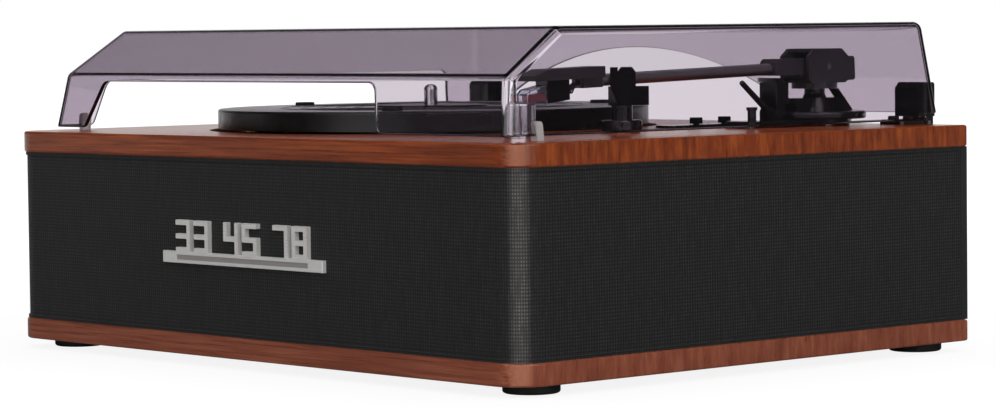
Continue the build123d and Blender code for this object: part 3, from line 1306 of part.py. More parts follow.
def lift_platform():
    """Lift cap: square sleeve over the core, curved bar on top and a stem in the core's bore."""
    top = lift_top_z()
    bar_low = top - LIFT_BAR_THICK
    roof = bar_low - LIFT_ROOF
    sleeve_low = ARM_BASE_TOP_Z + LIFT_TRAVEL + SWEEP_GAP
    half = LIFT_WIDTH / 2
    length = LIFT_LENGTH / 2
    sleeve = block(-half, half, -LIFT_DISTANCE - length, -LIFT_DISTANCE + length, sleeve_low, bar_low)
    sleeve = fillet(sleeve.edges().filter_by(Axis.Z), LIFT_CORNER)
    room_x = half - LIFT_WALL
    room_y = length - LIFT_WALL
    sleeve -= block(-room_x, room_x, -LIFT_DISTANCE - room_y, -LIFT_DISTANCE + room_y, sleeve_low - 1, roof)
    ring = tube_between(LIFT_DISTANCE + LIFT_BAR_WALL / 2, LIFT_DISTANCE - LIFT_BAR_WALL / 2, bar_low, top)
    reach = 2 * LIFT_DISTANCE
    right = radians(-90 + LIFT_BAR_RIGHT)
    left = radians(-90 - LIFT_BAR_LEFT)
    middle = (right + left) / 2
    corners = [(0, 0)] + [(reach * cos(angle), reach * sin(angle)) for angle in (right, middle, left)]
    wedge = extrude(make_face(Polyline(*corners, close=True)), LIFT_BAR_THICK + 2)
    bar = ring & Pos(0, 0, bar_low - 1) * wedge
    stem = rod(LIFT_STEM_RADIUS, roof - LIFT_STEM_LENGTH, roof, 0, -LIFT_DISTANCE)
    return at_pivot(sleeve + bar + stem)


def cue_lever():
    """Cue lever that stands forward and up from its hub."""
    half = LEVER_HUB_THICK / 2
    hub = rod_x(LEVER_HUB_RADIUS, LEVER_SIDE - half, LEVER_SIDE + half, 0, 0)
    turn = Pos(LEVER_SIDE, 0, 0) * Rot(90 - LEVER_ANGLE, 0, 0)
    root = min(LEVER_ROOT_RADIUS, half)
    stick = turn * Pos(0, 0, LEVER_LENGTH / 2) * Cone(root, LEVER_TIP_RADIUS, LEVER_LENGTH)
    end = turn * Pos(0, 0, LEVER_LENGTH) * Sphere(LEVER_TIP_RADIUS)
    lever = hub + stick + end
    lever -= rod_x(LEVER_PIN_RADIUS + SHAFT_FIT, LEVER_SIDE - half - 1, LEVER_SIDE + half + 1, 0, 0)
    return at_pivot(Pos(0, -LEVER_DISTANCE, lever_z()) * lever)


def volume_pot():
    """Volume control under the deck, its bush through the deck."""
    body_top = BOARD_UNDER_Z
    bush = POT_SHAFT_RADIUS + POT_BUSH_WALL
    pot = rod(POT_BODY_RADIUS, body_top - POT_BODY_HEIGHT, body_top, KNOB_X, KNOB_Y)
    pot += rod(bush, body_top, DECK_Z, KNOB_X, KNOB_Y)
    shaft_low = body_top - POT_BODY_HEIGHT + POT_FLOOR
    return pot - rod(POT_SHAFT_RADIUS + SHAFT_FIT, shaft_low, DECK_Z + 1, KNOB_X, KNOB_Y)


def pot_shaft():
    """Shaft that turns in the volume control and carries the knob."""
    low = BOARD_UNDER_Z - POT_BODY_HEIGHT + POT_FLOOR + SEAT_GAP
    return rod(POT_SHAFT_RADIUS, low, DECK_Z + KNOB_HEIGHT - KNOB_CAP, KNOB_X, KNOB_Y)


def volume_knob():
    """Plain chromed knob with a slightly dished top."""
    low = DECK_Z + SWEEP_GAP
    top = DECK_Z + KNOB_HEIGHT
    knob = rod(KNOB_RADIUS, low, top, KNOB_X, KNOB_Y)
    knob = fillet(knob.edges().group_by(Axis.Z)[-1], KNOB_EDGE)
    knob -= rod(KNOB_RADIUS - KNOB_RIM, top - KNOB_DISH, top + 1, KNOB_X, KNOB_Y)
    return knob - rod(POT_SHAFT_RADIUS, low - 1, top - KNOB_CAP, KNOB_X, KNOB_Y)


def switch_slot_size(travel):
    """Width and length of the slot that a switch stem slides in."""
    return SWITCH_STEM_WIDTH + 2 * SWEEP_GAP, SWITCH_STEM_WIDTH + travel + 2 * SWEEP_GAP


def switch_body_size(travel):
    """Width and length of a slide-switch housing."""
    width, length = switch_slot_size(travel)
    return width + 2 * SWITCH_BODY_WALL, length + 2 * SWITCH_BODY_WALL


def switch_panel():
    """Thin plate with the two slide switches' housings moulded under it, let into the deck."""
    half = SWITCH_PLATE_WIDTH / 2
    reach = SWITCH_PLATE_LENGTH / 2
    top = DECK_Z + SWITCH_PLATE_THICK
    panel = block(SWITCH_X - half, SWITCH_X + half, SWITCH_PLATE_Y - reach, SWITCH_PLATE_Y + reach, DECK_Z, top)
    panel = fillet(panel.edges().filter_by(Axis.Z), SWITCH_PLATE_CORNER)
    for y, travel in SWITCHES:
        width, length = switch_body_size(travel)
        panel += Pos(SWITCH_X, y, DECK_Z - SWITCH_BODY_DEPTH / 2) * Box(width, length, SWITCH_BODY_DEPTH)
    for y, travel in SWITCHES:
        width, length = switch_slot_size(travel)
        depth = SWITCH_STEM_DEPTH + SWITCH_PLATE_THICK
        panel -= Pos(SWITCH_X, y, top - depth / 2) * Box(width, length, depth)
    return panel


def switch_cap(y, travel):
    """Slide-switch cap with its stem, at the front end of its travel."""
    low = DECK_Z + SWITCH_PLATE_THICK + SWEEP_GAP
    top = DECK_Z + SWITCH_CAP_HEIGHT
    place = y - travel / 2
    cap = Pos(SWITCH_X, place, (low + top) / 2) * Box(SWITCH_CAP_WIDTH, SWITCH_CAP_LENGTH, top - low)
    cap = fillet(cap.edges().group_by(Axis.Z)[-1], SWITCH_CAP_EDGE)
    stem_low = DECK_Z - SWITCH_STEM_DEPTH + SEAT_GAP
    width = SWITCH_STEM_WIDTH
    stem = Pos(SWITCH_X, place, (stem_low + low) / 2) * Box(width, width, low - stem_low)
    return cap + stem


def cover_side_outline():
    """Cover seen from the side, as (y, z) corners from the front foot over the top to the rear foot."""
    return [
        (COVER_FRONT_Y, COVER_LOW_Z), (COVER_FOLD_Y, DECK_Z + COVER_FOLD_RISE), (COVER_TOP_Y, COVER_HIGH_Z),
        (COVER_REAR_TOP_Y, COVER_HIGH_Z), (COVER_REAR_BOTTOM_Y, COVER_LOW_Z),
    ]


def cover_front_outline():
    """Cover seen from the front, as (x, z) corners from the left foot over the top to the right foot."""
    return [
        (-COVER_HALF_BOTTOM, COVER_LOW_Z), (-COVER_HALF_TOP, COVER_HIGH_Z),
        (COVER_HALF_TOP, COVER_HIGH_Z), (COVER_HALF_BOTTOM, COVER_LOW_Z),
    ]


def meeting_point(first, second):
    """Point where two lines meet, each given as a point and a direction."""
    (x0, z0), (dx0, dz0) = first
    (x1, z1), (dx1, dz1) = second
    along = ((x1 - x0) * dz1 - (z1 - z0) * dx1) / (dx0 * dz1 - dz0 * dx1)
    return x0 + dx0 * along, z0 + dz0 * along


def moved_in(points, distance):
    """Open outline moved inwards by a distance, its two feet run on down past the cover's lower edge."""
    lines = []
    for (x0, z0), (x1, z1) in zip(points[:-1], points[1:]):
        length = hypot(x1 - x0, z1 - z0)
        along = ((x1 - x0) / length, (z1 - z0) / length)
        lines.append(((x0 + along[1] * distance, z0 - along[0] * distance), along))
    low = points[0][1] - distance
    floor = ((0.0, low), (1.0, 0.0))
    ring = [floor] + lines + [floor]
    return [meeting_point(first, second) for first, second in zip(ring[:-1], ring[1:])]


def cover_form(distance):
    """Solid block of the cover's outer form, moved inwards by a distance, its upper edges rounded."""
    side_points = [(0, y, z) for y, z in moved_in(cover_side_outline(), distance)]
    front_points = [(x, 0, z) for x, z in moved_in(cover_front_outline(), distance)]
    side = make_face(Polyline(*side_points, close=True))
    front = make_face(Polyline(*front_points, close=True))
    long_way = Pos(-WIDTH / 2, 0, 0) * extrude(side, WIDTH, dir=(1, 0, 0))
    cross_way = Pos(0, -DEPTH, 0) * extrude(front, 2 * DEPTH, dir=(0, 1, 0))
    form = long_way & cross_way
    floor = form.faces().sort_by(Axis.Z)[0]
    rims = [edge for edge in form.edges() if edge.center().Z > floor.center().Z + 0.01]
    return fillet(rims, COVER_EDGE_RADIUS - distance)


def opening_face(low_start, top_start, top_end, low_end):
    """Opening in a wall as (across, up) face: slanted ends, round upper corners, flared feet."""
    top = DECK_Z + OPENING_RISE
    below = COVER_LOW_Z - 3 * OPENING_FLARE
    margin = 3 * OPENING_FLARE
    points = [(low_start - margin, below), (low_start - margin, COVER_LOW_Z), (low_start, COVER_LOW_Z),
              (top_start, top), (top_end, top), (low_end, COVER_LOW_Z), (low_end + margin, COVER_LOW_Z),
              (low_end + margin, below)]
    face = make_face(Polyline(*points, close=True))
    flares = [vertex for vertex in face.vertices() if abs(vertex.Y - COVER_LOW_Z) < 0.01
              and low_start - 1 < vertex.X < low_end + 1]
    face = fillet(flares, OPENING_FLARE)
    corners = [vertex for vertex in face.vertices() if abs(vertex.Y - top) < 0.01]
    return fillet(corners, OPENING_CORNER)


def dust_cover():
    """Smoked cover: thin shell with openings for a larger record at the front, left and rear."""
    shell = cover_form(0) - cover_form(COVER_WALL)
    left_foot = FRONT_OPENING_LEFT - COVER_HALF_BOTTOM
    front = opening_face(left_foot, left_foot + FRONT_OPENING_LEFT_LEAN, FRONT_OPENING_RIGHT_TOP,
                         FRONT_OPENING_RIGHT_LOW)
    reach = 5 * COVER_WALL
    cut = Plane.XZ.location * extrude(front, 2 * reach, both=True)
    shell -= Pos(0, COVER_FRONT_Y, 0) * cut
    front_foot = COVER_FRONT_Y + SIDE_OPENING_FRONT
    rear_foot = COVER_REAR_BOTTOM_Y - SIDE_OPENING_REAR
    left = opening_face(front_foot, front_foot + SIDE_OPENING_FRONT_LEAN, rear_foot - SIDE_OPENING_REAR_LEAN,
                        rear_foot)
    cut = Plane.YZ.location * extrude(left, 2 * reach, both=True)
    shell -= Pos(-COVER_HALF_BOTTOM, 0, 0) * cut
    arch_z = DECK_Z + ARCH_RISE - ARCH_RADIUS
    shell -= rod_y(ARCH_RADIUS, COVER_REAR_TOP_Y - 2 * reach, COVER_REAR_BOTTOM_Y + reach, ARCH_X, arch_z)
    shell -= block(-WIDTH / 2, WIDTH / 2, HINGE_INNER_Y, COVER_REAR_BOTTOM_Y + 1,
                   COVER_LOW_Z - 1, DECK_Z + COVER_REAR_GAP)
    return shell


def wall_x(z):
    """Outer face of the cover's right wall at a height."""
    return COVER_HALF_BOTTOM - COVER_LEAN * (z - COVER_LOW_Z)


def cover_bumpers():
    """Soft caps slipped over the side walls' lower edge, which the closed cover rests on."""
    low = DECK_Z + SEAT_GAP
    high = low + BUMPER_HEIGHT
    across = COVER_WALL / cos(atan2(COVER_LEAN, 1))
    middle_y = FRONT_Y + BUMPER_FRONT_INSET

    def strip(z0, z1, grow, length):
        inner0 = wall_x(z0) - across - grow
        inner1 = wall_x(z1) - across - grow
        points = [(inner0, z0), (wall_x(z0) + grow, z0), (wall_x(z1) + grow, z1), (inner1, z1)]
        face = make_face(Polyline(*[(x, middle_y + length / 2, z) for x, z in points], close=True))
        return extrude(face, length, dir=(0, -1, 0))
    cap = strip(low, high, BUMPER_WALL, BUMPER_LENGTH)
    upper = [edge for edge in cap.edges().filter_by(Axis.X) if edge.center().Z > high - SEAT_GAP]
    cap = fillet(upper, BUMPER_LENGTH * 0.4) - strip(COVER_LOW_Z, high + 1, 0, BUMPER_LENGTH + 2)
    return joined([cap, mirror(cap, Plane.YZ)])


def rear_wall_y(z):
    """Outer face of the cover's rear wall at a height."""
    fall = (COVER_REAR_BOTTOM_Y - COVER_REAR_TOP_Y) / (COVER_HIGH_Z - COVER_LOW_Z)
    return COVER_REAR_BOTTOM_Y - fall * (z - COVER_LOW_Z)


def hinge_thirds(side):
    """Sideways spans of a hinge's barrel: left end, middle and right end."""
    middle = side * HINGE_X
    half = HINGE_WIDTH / 2
    inner = HINGE_MIDDLE / 2
    return (middle - half, middle - inner - SWEEP_GAP), (middle - inner, middle + inner), \
        (middle + inner + SWEEP_GAP, middle + half)


def hinge_clips():
    """Clips that grip the cover's rear wall, each with two barrel ends round the hinge pin."""
    clips = []
    web_low = DECK_Z + HINGE_WEB_RISE
    high = DECK_Z + HINGE_JAW_RISE
    slot_low = DECK_Z + COVER_REAR_GAP
    for side in (-1, 1):
        half = HINGE_WIDTH / 2
        x0 = side * HINGE_X - half
        x1 = side * HINGE_X + half
        bevel = HINGE_JAW_BEVEL
        outline = [(HINGE_INNER_Y, web_low), (HINGE_INNER_Y, high - bevel), (HINGE_INNER_Y + bevel, high),
                   (HINGE_OUTER_Y - 1, high), (HINGE_OUTER_Y, high - 1), (HINGE_OUTER_Y, web_low)]
        clip = make_face(Polyline(*[(0, y, z) for y, z in outline], close=True))
        clip = Pos(x0, 0, 0) * extrude(clip, x1 - x0, dir=(1, 0, 0))
        lean = atan2(COVER_REAR_BOTTOM_Y - COVER_REAR_TOP_Y, COVER_HIGH_Z - COVER_LOW_Z)
        inner = COVER_WALL / cos(lean) + SEAT_GAP
        slot = [(rear_wall_y(slot_low) - inner, slot_low), (rear_wall_y(slot_low) + SEAT_GAP, slot_low),
                (rear_wall_y(high + 1) + SEAT_GAP, high + 1), (rear_wall_y(high + 1) - inner, high + 1)]
        slot = make_face(Polyline(*[(0, y, z) for y, z in slot], close=True))
        clip -= Pos(x0 - 1, 0, 0) * extrude(slot, x1 - x0 + 2, dir=(1, 0, 0))
        ends = hinge_thirds(side)
        for left, right in (ends[0], ends[2]):
            clip += rod_x(HINGE_BARREL_RADIUS, left, right, HINGE_PIVOT_Y, HINGE_PIVOT_Z)
            clip += block(left, right, HINGE_PIVOT_Y - HINGE_BARREL_RADIUS, HINGE_PIVOT_Y + HINGE_BARREL_RADIUS,
                          HINGE_PIVOT_Z, web_low)
        clip -= rod_x(HINGE_PIN_RADIUS, x0 - 1, x1 + 1, HINGE_PIVOT_Y, HINGE_PIVOT_Z)
        clips.append(clip)
    return joined(clips)


def hinge_brackets():
    """Leaves screwed to the deck, each with the middle part of its hinge's barrel behind the deck."""
    leaves = []
    for side in (-1, 1):
        half = HINGE_WIDTH / 2
        middle = side * HINGE_X
        top = DECK_Z + HINGE_LEAF_THICK
        leaf = block(middle - half, middle + half, REAR_Y - HINGE_LEAF_INSET, REAR_Y, DECK_Z, top)
        leaf = fillet(leaf.edges().filter_by(Axis.Z).sort_by(Axis.Y)[:2], HINGE_LEAF_CORNER)
        left, right = hinge_thirds(side)[1]
        leaf += block(left, right, REAR_Y, HINGE_PIVOT_Y, DECK_Z, top)
        leaf += rod_x(HINGE_BARREL_RADIUS, left, right, HINGE_PIVOT_Y, HINGE_PIVOT_Z)
        leaf -= rod_x(HINGE_PIN_RADIUS + SHAFT_FIT, left - 1, right + 1, HINGE_PIVOT_Y, HINGE_PIVOT_Z)
        for x, y in leaf_screw_places():
            if x * side > 0:
                leaf -= rod(SCREW_RADIUS + SCREW_FIT, DECK_Z - 1, top + 1, x, y)
        leaves.append(leaf)
    return joined(leaves)


def leaf_screw_places():
    """Two screws in each hinge leaf."""
    return [(side * HINGE_X + offset, HINGE_SCREW_Y) for side in (-1, 1)
            for offset in (-HINGE_SCREW_SPREAD, HINGE_SCREW_SPREAD)]


def leaf_screws():
    """Screws that hold the hinge leaves to the deck."""
    z = DECK_Z + HINGE_LEAF_THICK
    return joined([screw((0, 0, 1), x, y, z, HINGE_SCREW_LENGTH) for x, y in leaf_screw_places()])


def hinge_pins():
    """Steel pins through the hinge barrels."""
    pins = []
    for side in (-1, 1):
        half = HINGE_WIDTH / 2
        pins.append(rod_x(HINGE_PIN_RADIUS, side * HINGE_X - half, side * HINGE_X + half,
                          HINGE_PIVOT_Y, HINGE_PIVOT_Z))
    return joined(pins)


def rear_socket(radius, bore, flange, x, z):
    """Round socket through the rear panel: flange outside, blind bore with a centre pin."""
    inner = REAR_PANEL_FRONT_Y - SOCKET_DEPTH
    socket = rod_y(radius, inner, REAR_PANEL_FACE_Y, x, z)
    socket += rod_y(flange, REAR_PANEL_FACE_Y, REAR_PANEL_FACE_Y + SOCKET_FLANGE, x, z)
    socket -= rod_y(bore, inner + SOCKET_FLOOR, REAR_PANEL_FACE_Y + 2 * SOCKET_FLANGE, x, z)
    return socket


def dc_inlet():
    """Power inlet with its centre pin."""
    z = WALL_Z + INLET_RISE
    inner = REAR_PANEL_FRONT_Y - SOCKET_DEPTH
    inlet = rear_socket(INLET_RADIUS, INLET_BORE_RADIUS, INLET_RADIUS + SOCKET_LIP, INLET_X, z)
    return inlet + rod_y(INLET_PIN_RADIUS, inner + SOCKET_FLOOR, REAR_PANEL_FACE_Y - 1, INLET_X, z)


def line_out_places():
    """Sideways places of the two line-out sockets."""
    return [LINE_OUT_X, LINE_OUT_X + LINE_OUT_PITCH]


def line_out_sockets():
    """Two line-out sockets beside the power inlet."""
    z = WALL_Z + INLET_RISE
    return joined([rear_socket(LINE_OUT_RADIUS, LINE_OUT_BORE_RADIUS, LINE_OUT_RADIUS + SOCKET_LIP, x, z)
                   for x in line_out_places()])


def standoff_places():
    """Corners of the amplifier board, in from its edges."""
    x = BOARD_LENGTH / 2 - STANDOFF_INSET
    y = BOARD_WIDTH / 2 - STANDOFF_INSET
    return [(BOARD_X + dx, BOARD_Y + dy) for dx in (-x, x) for dy in (-y, y)]


def board_standoffs():
    """Pillars under the amplifier board."""
    bore = SCREW_RADIUS + SCREW_FIT
    return joined([tube_between(STANDOFF_RADIUS, bore, WALL_Z, WALL_Z + STANDOFF_HEIGHT, x, y)
                   for x, y in standoff_places()])


def board_top_z():
    """Upper face of the amplifier board."""
    return WALL_Z + STANDOFF_HEIGHT + BOARD_SHEET


def plug_block(x0, x1, y0, y1):
    """Plug block on the amplifier board."""
    return block(x0, x1, y0, y1, board_top_z(), board_top_z() + PLUG_HEIGHT)


def amplifier_board():
    """Circuit board with two capacitors, a finned heat sink and plug blocks along its edges."""
    top = board_top_z()
    left = BOARD_X - BOARD_LENGTH / 2
    front = BOARD_Y - BOARD_WIDTH / 2
    rear = BOARD_Y + BOARD_WIDTH / 2
    board = block(left, left + BOARD_LENGTH, front, rear, top - BOARD_SHEET, top)
    for offset in (0, CAPACITOR_PITCH):
        x = CAPACITOR_X + offset
        board += rod(CAPACITOR_RADIUS, top, top + CAPACITOR_HEIGHT, x, BOARD_Y + CAPACITOR_RADIUS)
    sink_length = SINK_PITCH * (SINK_FINS - 1) + SINK_FIN
    sink_front = BOARD_Y - SINK_DEPTH / 2
    sink_rear = BOARD_Y + SINK_DEPTH / 2
    board += block(SINK_X, SINK_X + sink_length, sink_front, sink_rear, top, top + SINK_FIN)
    for index in range(SINK_FINS):
        x = SINK_X + index * SINK_PITCH
        board += block(x, x + SINK_FIN, sink_front, sink_rear, top, top + SINK_HEIGHT)
    half = PLUG_WIDTH / 2
    for x in FRONT_PLUGS:
        board += plug_block(x - half, x + half, front, front + PLUG_LENGTH)
    for x in REAR_PLUGS:
        board += plug_block(x - half, x + half, rear - PLUG_LENGTH, rear)
    board += plug_block(left, left + PLUG_LENGTH, MOTOR_PLUG_Y - half, MOTOR_PLUG_Y + half)
    for x, y in standoff_places():
        board -= rod(SCREW_RADIUS + SCREW_FIT, top - BOARD_SHEET - 1, top + 1, x, y)
    return board


def cable(points, radius):
    """Round cable along straight runs joined by arcs."""
    path = FilletPolyline(*points, radius=radius)
    heading = Vector(*points[1]) - Vector(*points[0])
    return sweep(Plane(origin=points[0], z_dir=heading) * Circle(WIRE_RADIUS), path)


def wiring():
    """Cables from the board to the loudspeakers, motor, volume control, switches, arm and rear sockets."""
    plug_z = board_top_z() + PLUG_HEIGHT / 2
    lie_z = WALL_Z + WIRE_RADIUS + SEAT_GAP
    front = BOARD_Y - BOARD_WIDTH / 2
    rear = BOARD_Y + BOARD_WIDTH / 2
    left = BOARD_X - BOARD_LENGTH / 2
    near = front - CABLE_DROP
    down = near - CABLE_DROP
    speaker_z = speaker_terminal_z()
    speaker_y = BAFFLE_BACK_Y + SPEAKER_FLANGE_THICK + TERMINAL_DEPTH
    rise_y = speaker_y + CABLE_DROP
    fall_y = rise_y + CABLE_DROP
    bend = CABLE_BEND
    switch_y = BOARD_Y + SWITCH_CABLE_OFFSET
    far_x, middle_x, volume_x = FRONT_PLUGS
    left_run_y = fall_y + LEFT_RUN_STEP
    right_run_y = down - RIGHT_RUN_STEP
    volume_rise_y = KNOB_Y + VOLUME_RISE_STEP
    cables = [
        cable([(far_x, front, plug_z), (far_x, near, plug_z), (far_x, down, lie_z),
               (far_x, left_run_y, lie_z), (-SPEAKER_X, left_run_y, lie_z), (-SPEAKER_X, fall_y, lie_z),
               (-SPEAKER_X, rise_y, speaker_z), (-SPEAKER_X, speaker_y, speaker_z)], bend),
        cable([(middle_x, front, plug_z), (middle_x, near, plug_z), (middle_x, down, lie_z),
               (middle_x, right_run_y, lie_z), (SPEAKER_X, left_run_y, lie_z), (SPEAKER_X, fall_y, lie_z),
               (SPEAKER_X, rise_y, speaker_z), (SPEAKER_X, speaker_y, speaker_z)], bend),
        cable([(volume_x, front, plug_z), (volume_x, near, plug_z), (volume_x, down, lie_z),
               (KNOB_X, right_run_y, lie_z), (KNOB_X, volume_rise_y, lie_z),
               (KNOB_X, volume_rise_y, BOARD_UNDER_Z - POT_BODY_HEIGHT)], bend),
        cable([(left, MOTOR_PLUG_Y, plug_z), (left - CABLE_DROP, MOTOR_PLUG_Y, plug_z),
               (left - 2 * CABLE_DROP, MOTOR_PLUG_Y, lie_z), (MOTOR_X, MOTOR_PLUG_Y, lie_z),
               (MOTOR_X, MOTOR_Y, lie_z), (MOTOR_X, MOTOR_Y, motor_low_z())], bend),
        cable([(PIVOT_X, rear, plug_z), (PIVOT_X, PIVOT_Y, plug_z),
               (PIVOT_X, PIVOT_Y, BOARD_UNDER_Z - CLAMP_NUT_THICK - CLAMP_WASHER_THICK)], bend),
        cable([(SWITCH_X, SPEED_SWITCH_Y, DECK_Z - SWITCH_BODY_DEPTH),
               (SWITCH_X, SPEED_SWITCH_Y, SWITCH_CABLE_HIGH_Z), (SWITCH_CABLE_X, switch_y, SWITCH_CABLE_LOW_Z),
               (SWITCH_CABLE_X, switch_y, board_top_z())], bend),
    ]
    socket_y = REAR_PANEL_FRONT_Y - SOCKET_DEPTH
    socket_z = WALL_Z + INLET_RISE
    ends = line_out_places()[::-1] + [INLET_X]
    for index, (start_x, end_x) in enumerate(zip(REAR_PLUGS, ends)):
        run_y = REAR_Y - REAR_RUN_INSET + index * REAR_RUN_PITCH
        cables.append(cable([(start_x, rear, plug_z), (start_x, rear + CABLE_STEP, plug_z),
                             (start_x, rear + 2 * CABLE_STEP, lie_z), (start_x, run_y, lie_z),
                             (end_x, run_y, lie_z), (end_x, run_y, socket_z), (end_x, socket_y, socket_z)],
                            REAR_CABLE_BEND))
    return joined(cables)


def motor_low_z():
    """Bottom of the motor's can."""
    return motor_top_z() - MOTOR_EAR_THICK - MOTOR_LENGTH


def speaker_terminal_z():
    """Height of the terminal block on each loudspeaker frame."""
    return (WALL_Z + BOARD_UNDER_Z) / 2 - SPEAKER_FLANGE_SIDE / 2 + TERMINAL_HEIGHT / 2 + TERMINAL_RISE


def wood_screws():
    """Identical screws: feet, platter tray, loudspeakers and amplifier board."""
    screws = []
    for x, y in foot_places():
        screws.append(screw((0, 0, -1), x, y, FOOT_SCREW_SEAT, WOOD_SCREW_LENGTH))
    for x, y in tray_screw_places():
        screws.append(screw((0, 0, -1), x, y, BOARD_UNDER_Z - TRAY_THICK, WOOD_SCREW_LENGTH))
    for x, z in speaker_screw_places():
        screws.append(screw((0, 1, 0), x, BAFFLE_BACK_Y + SPEAKER_FLANGE_THICK, z, WOOD_SCREW_LENGTH))
    for x, y in standoff_places():
        screws.append(screw((0, 0, 1), x, y, board_top_z(), WOOD_SCREW_LENGTH))
    return joined(screws)


NODES = {
    "base_board": base_board,
    "top_board": top_board,
    "front_baffle": front_baffle,
    "corner_posts": corner_posts,
    "side_panel_left": lambda: side_panel(-1),
    "side_panel_right": lambda: side_panel(1),
    "rear_panel": rear_panel,
    "rear_panel_screws": panel_screws,
    "grille_cloth": grille_cloth,
    "feet": feet,
    "wood_screws": wood_screws,
    "badge": badge,
    "speaker_frames": lambda: joined([speaker_frame(-1), speaker_frame(1)]),
    "speaker_cones": lambda: joined([speaker_cone(-1), speaker_cone(1)]),
    "speaker_magnets": lambda: joined([speaker_magnet(-1), speaker_magnet(1)]),
    "amplifier_board": amplifier_board,
    "board_standoffs": board_standoffs,
    "wiring": wiring,
    "dc_inlet": dc_inlet,
    "line_out_sockets": line_out_sockets,
    "deck_tray": deck_tray,
    "bearing_bush": bearing_bush,
    "thrust_pad": thrust_pad,
    "spindle": spindle,
    "platter": platter,
    "record_pads": record_pads,
    "drive_belt": drive_belt,
    "motor": motor,
    "motor_grommets": motor_grommets,
    "motor_screws": motor_screws,
    "motor_pulley": motor_pulley,
    "arm_base": arm_base,
    "arm_clamp_nut": arm_nut,
    "arm_yoke": arm_yoke,
    "arm_pivot_pins": pitch_pins,
    "arm_gimbal": gimbal,
    "arm_tube": arm_tube,
    "headshell": headshell,
    "cartridge": cartridge,
    "cartridge_leads": cartridge_leads,
    "stylus": stylus,
    "stylus_guard": stylus_guard,
    "counterweight": counterweight,
    "arm_rest": arm_rest,
    "lift_tower": lift_tower,
    "lift_platform": lift_platform,
    "cue_lever": cue_lever,
    "switch_panel": switch_panel,
    "speed_switch_cap": lambda: switch_cap(SPEED_SWITCH_Y, SPEED_TRAVEL),
    "auto_stop_cap": lambda: switch_cap(STOP_SWITCH_Y, STOP_TRAVEL),
    "volume_pot": volume_pot,
    "pot_shaft": pot_shaft,
    "volume_knob": volume_knob,
    "dust_cover": dust_cover,
    "cover_bumpers": cover_bumpers,
    "hinge_clips": hinge_clips,
    "hinge_brackets": hinge_brackets,
    "hinge_pins": hinge_pins,
    "hinge_screws": leaf_screws,
}


def main():
    """Writes every named piece, moved so that the frame's origin is under the middle of the whole object."""
    os.makedirs("parts", exist_ok=True)
    for name, make in NODES.items():
        placed = [Pos(0, FRAME_SHIFT, 0) * solid for solid in make().solids()]
        export_step(joined(placed), f"parts/{name}.step")


main()
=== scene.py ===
"""Finishes, small printed and moulded details and a studio for a table-top record player."""

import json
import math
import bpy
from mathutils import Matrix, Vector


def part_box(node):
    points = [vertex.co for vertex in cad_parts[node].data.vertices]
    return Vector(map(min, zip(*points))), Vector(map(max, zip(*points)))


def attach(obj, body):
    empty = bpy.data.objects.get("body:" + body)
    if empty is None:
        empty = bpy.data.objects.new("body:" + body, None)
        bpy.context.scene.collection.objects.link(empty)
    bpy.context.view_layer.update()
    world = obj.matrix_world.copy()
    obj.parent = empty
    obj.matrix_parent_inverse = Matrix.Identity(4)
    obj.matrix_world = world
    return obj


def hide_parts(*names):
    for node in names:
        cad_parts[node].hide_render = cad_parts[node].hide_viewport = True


bl_info = {
    "name": "Record player finishes",
    "version": (1, 0, 0),
    "blender": (4, 5, 0),
    "location": "3D View > Sidebar > Record player",
    "description": "Veneer, cloth, smoked cover and metal finishes for a record player, and its studio",
    "category": "Object",
}

import bpy
from bpy.props import FloatProperty, FloatVectorProperty, IntProperty, PointerProperty
from mathutils import Euler, Matrix, Vector

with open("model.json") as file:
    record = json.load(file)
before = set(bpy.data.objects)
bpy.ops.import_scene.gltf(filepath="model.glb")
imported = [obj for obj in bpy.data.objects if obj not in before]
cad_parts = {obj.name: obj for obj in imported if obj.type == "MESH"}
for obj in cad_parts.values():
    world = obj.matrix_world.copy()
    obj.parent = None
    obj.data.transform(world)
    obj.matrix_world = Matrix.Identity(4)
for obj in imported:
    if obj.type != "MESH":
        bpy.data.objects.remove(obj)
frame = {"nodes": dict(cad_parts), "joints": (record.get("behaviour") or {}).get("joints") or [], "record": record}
NODES = frame["nodes"]
SLOT_OF_NODE = {part["node"]: part["material_slot"] for part in frame["record"]["subparts"]}
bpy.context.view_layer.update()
MM = 0.001


def linear(hex_colour):
    """sRGB hex as linear red, green and blue."""
    parts = [int(hex_colour[place:place + 2], 16) / 255 for place in (1, 3, 5)]
    return tuple(part / 12.92 if part <= 0.04045 else ((part + 0.055) / 1.055) ** 2.4 for part in parts)


def colour_setting(name, description, hex_colour):
    """A colour that the panel shows."""
    return FloatVectorProperty(name=name, description=description, subtype="COLOR", size=3, min=0, max=1,
                               default=linear(hex_colour))


def length_setting(name, description, millimetres):
    """A length that the panel shows."""
    return FloatProperty(name=name, description=description, unit="LENGTH", min=0, default=millimetres * MM,
                         precision=5)


def number_setting(name, description, value):
    """A number from zero up that the panel shows."""
    return FloatProperty(name=name, description=description, min=0, default=value)


def angle_setting(name, description, degrees):
    """An angle that the panel shows."""
    return FloatProperty(name=name, description=description, subtype="ANGLE",
                         default=math.radians(degrees))


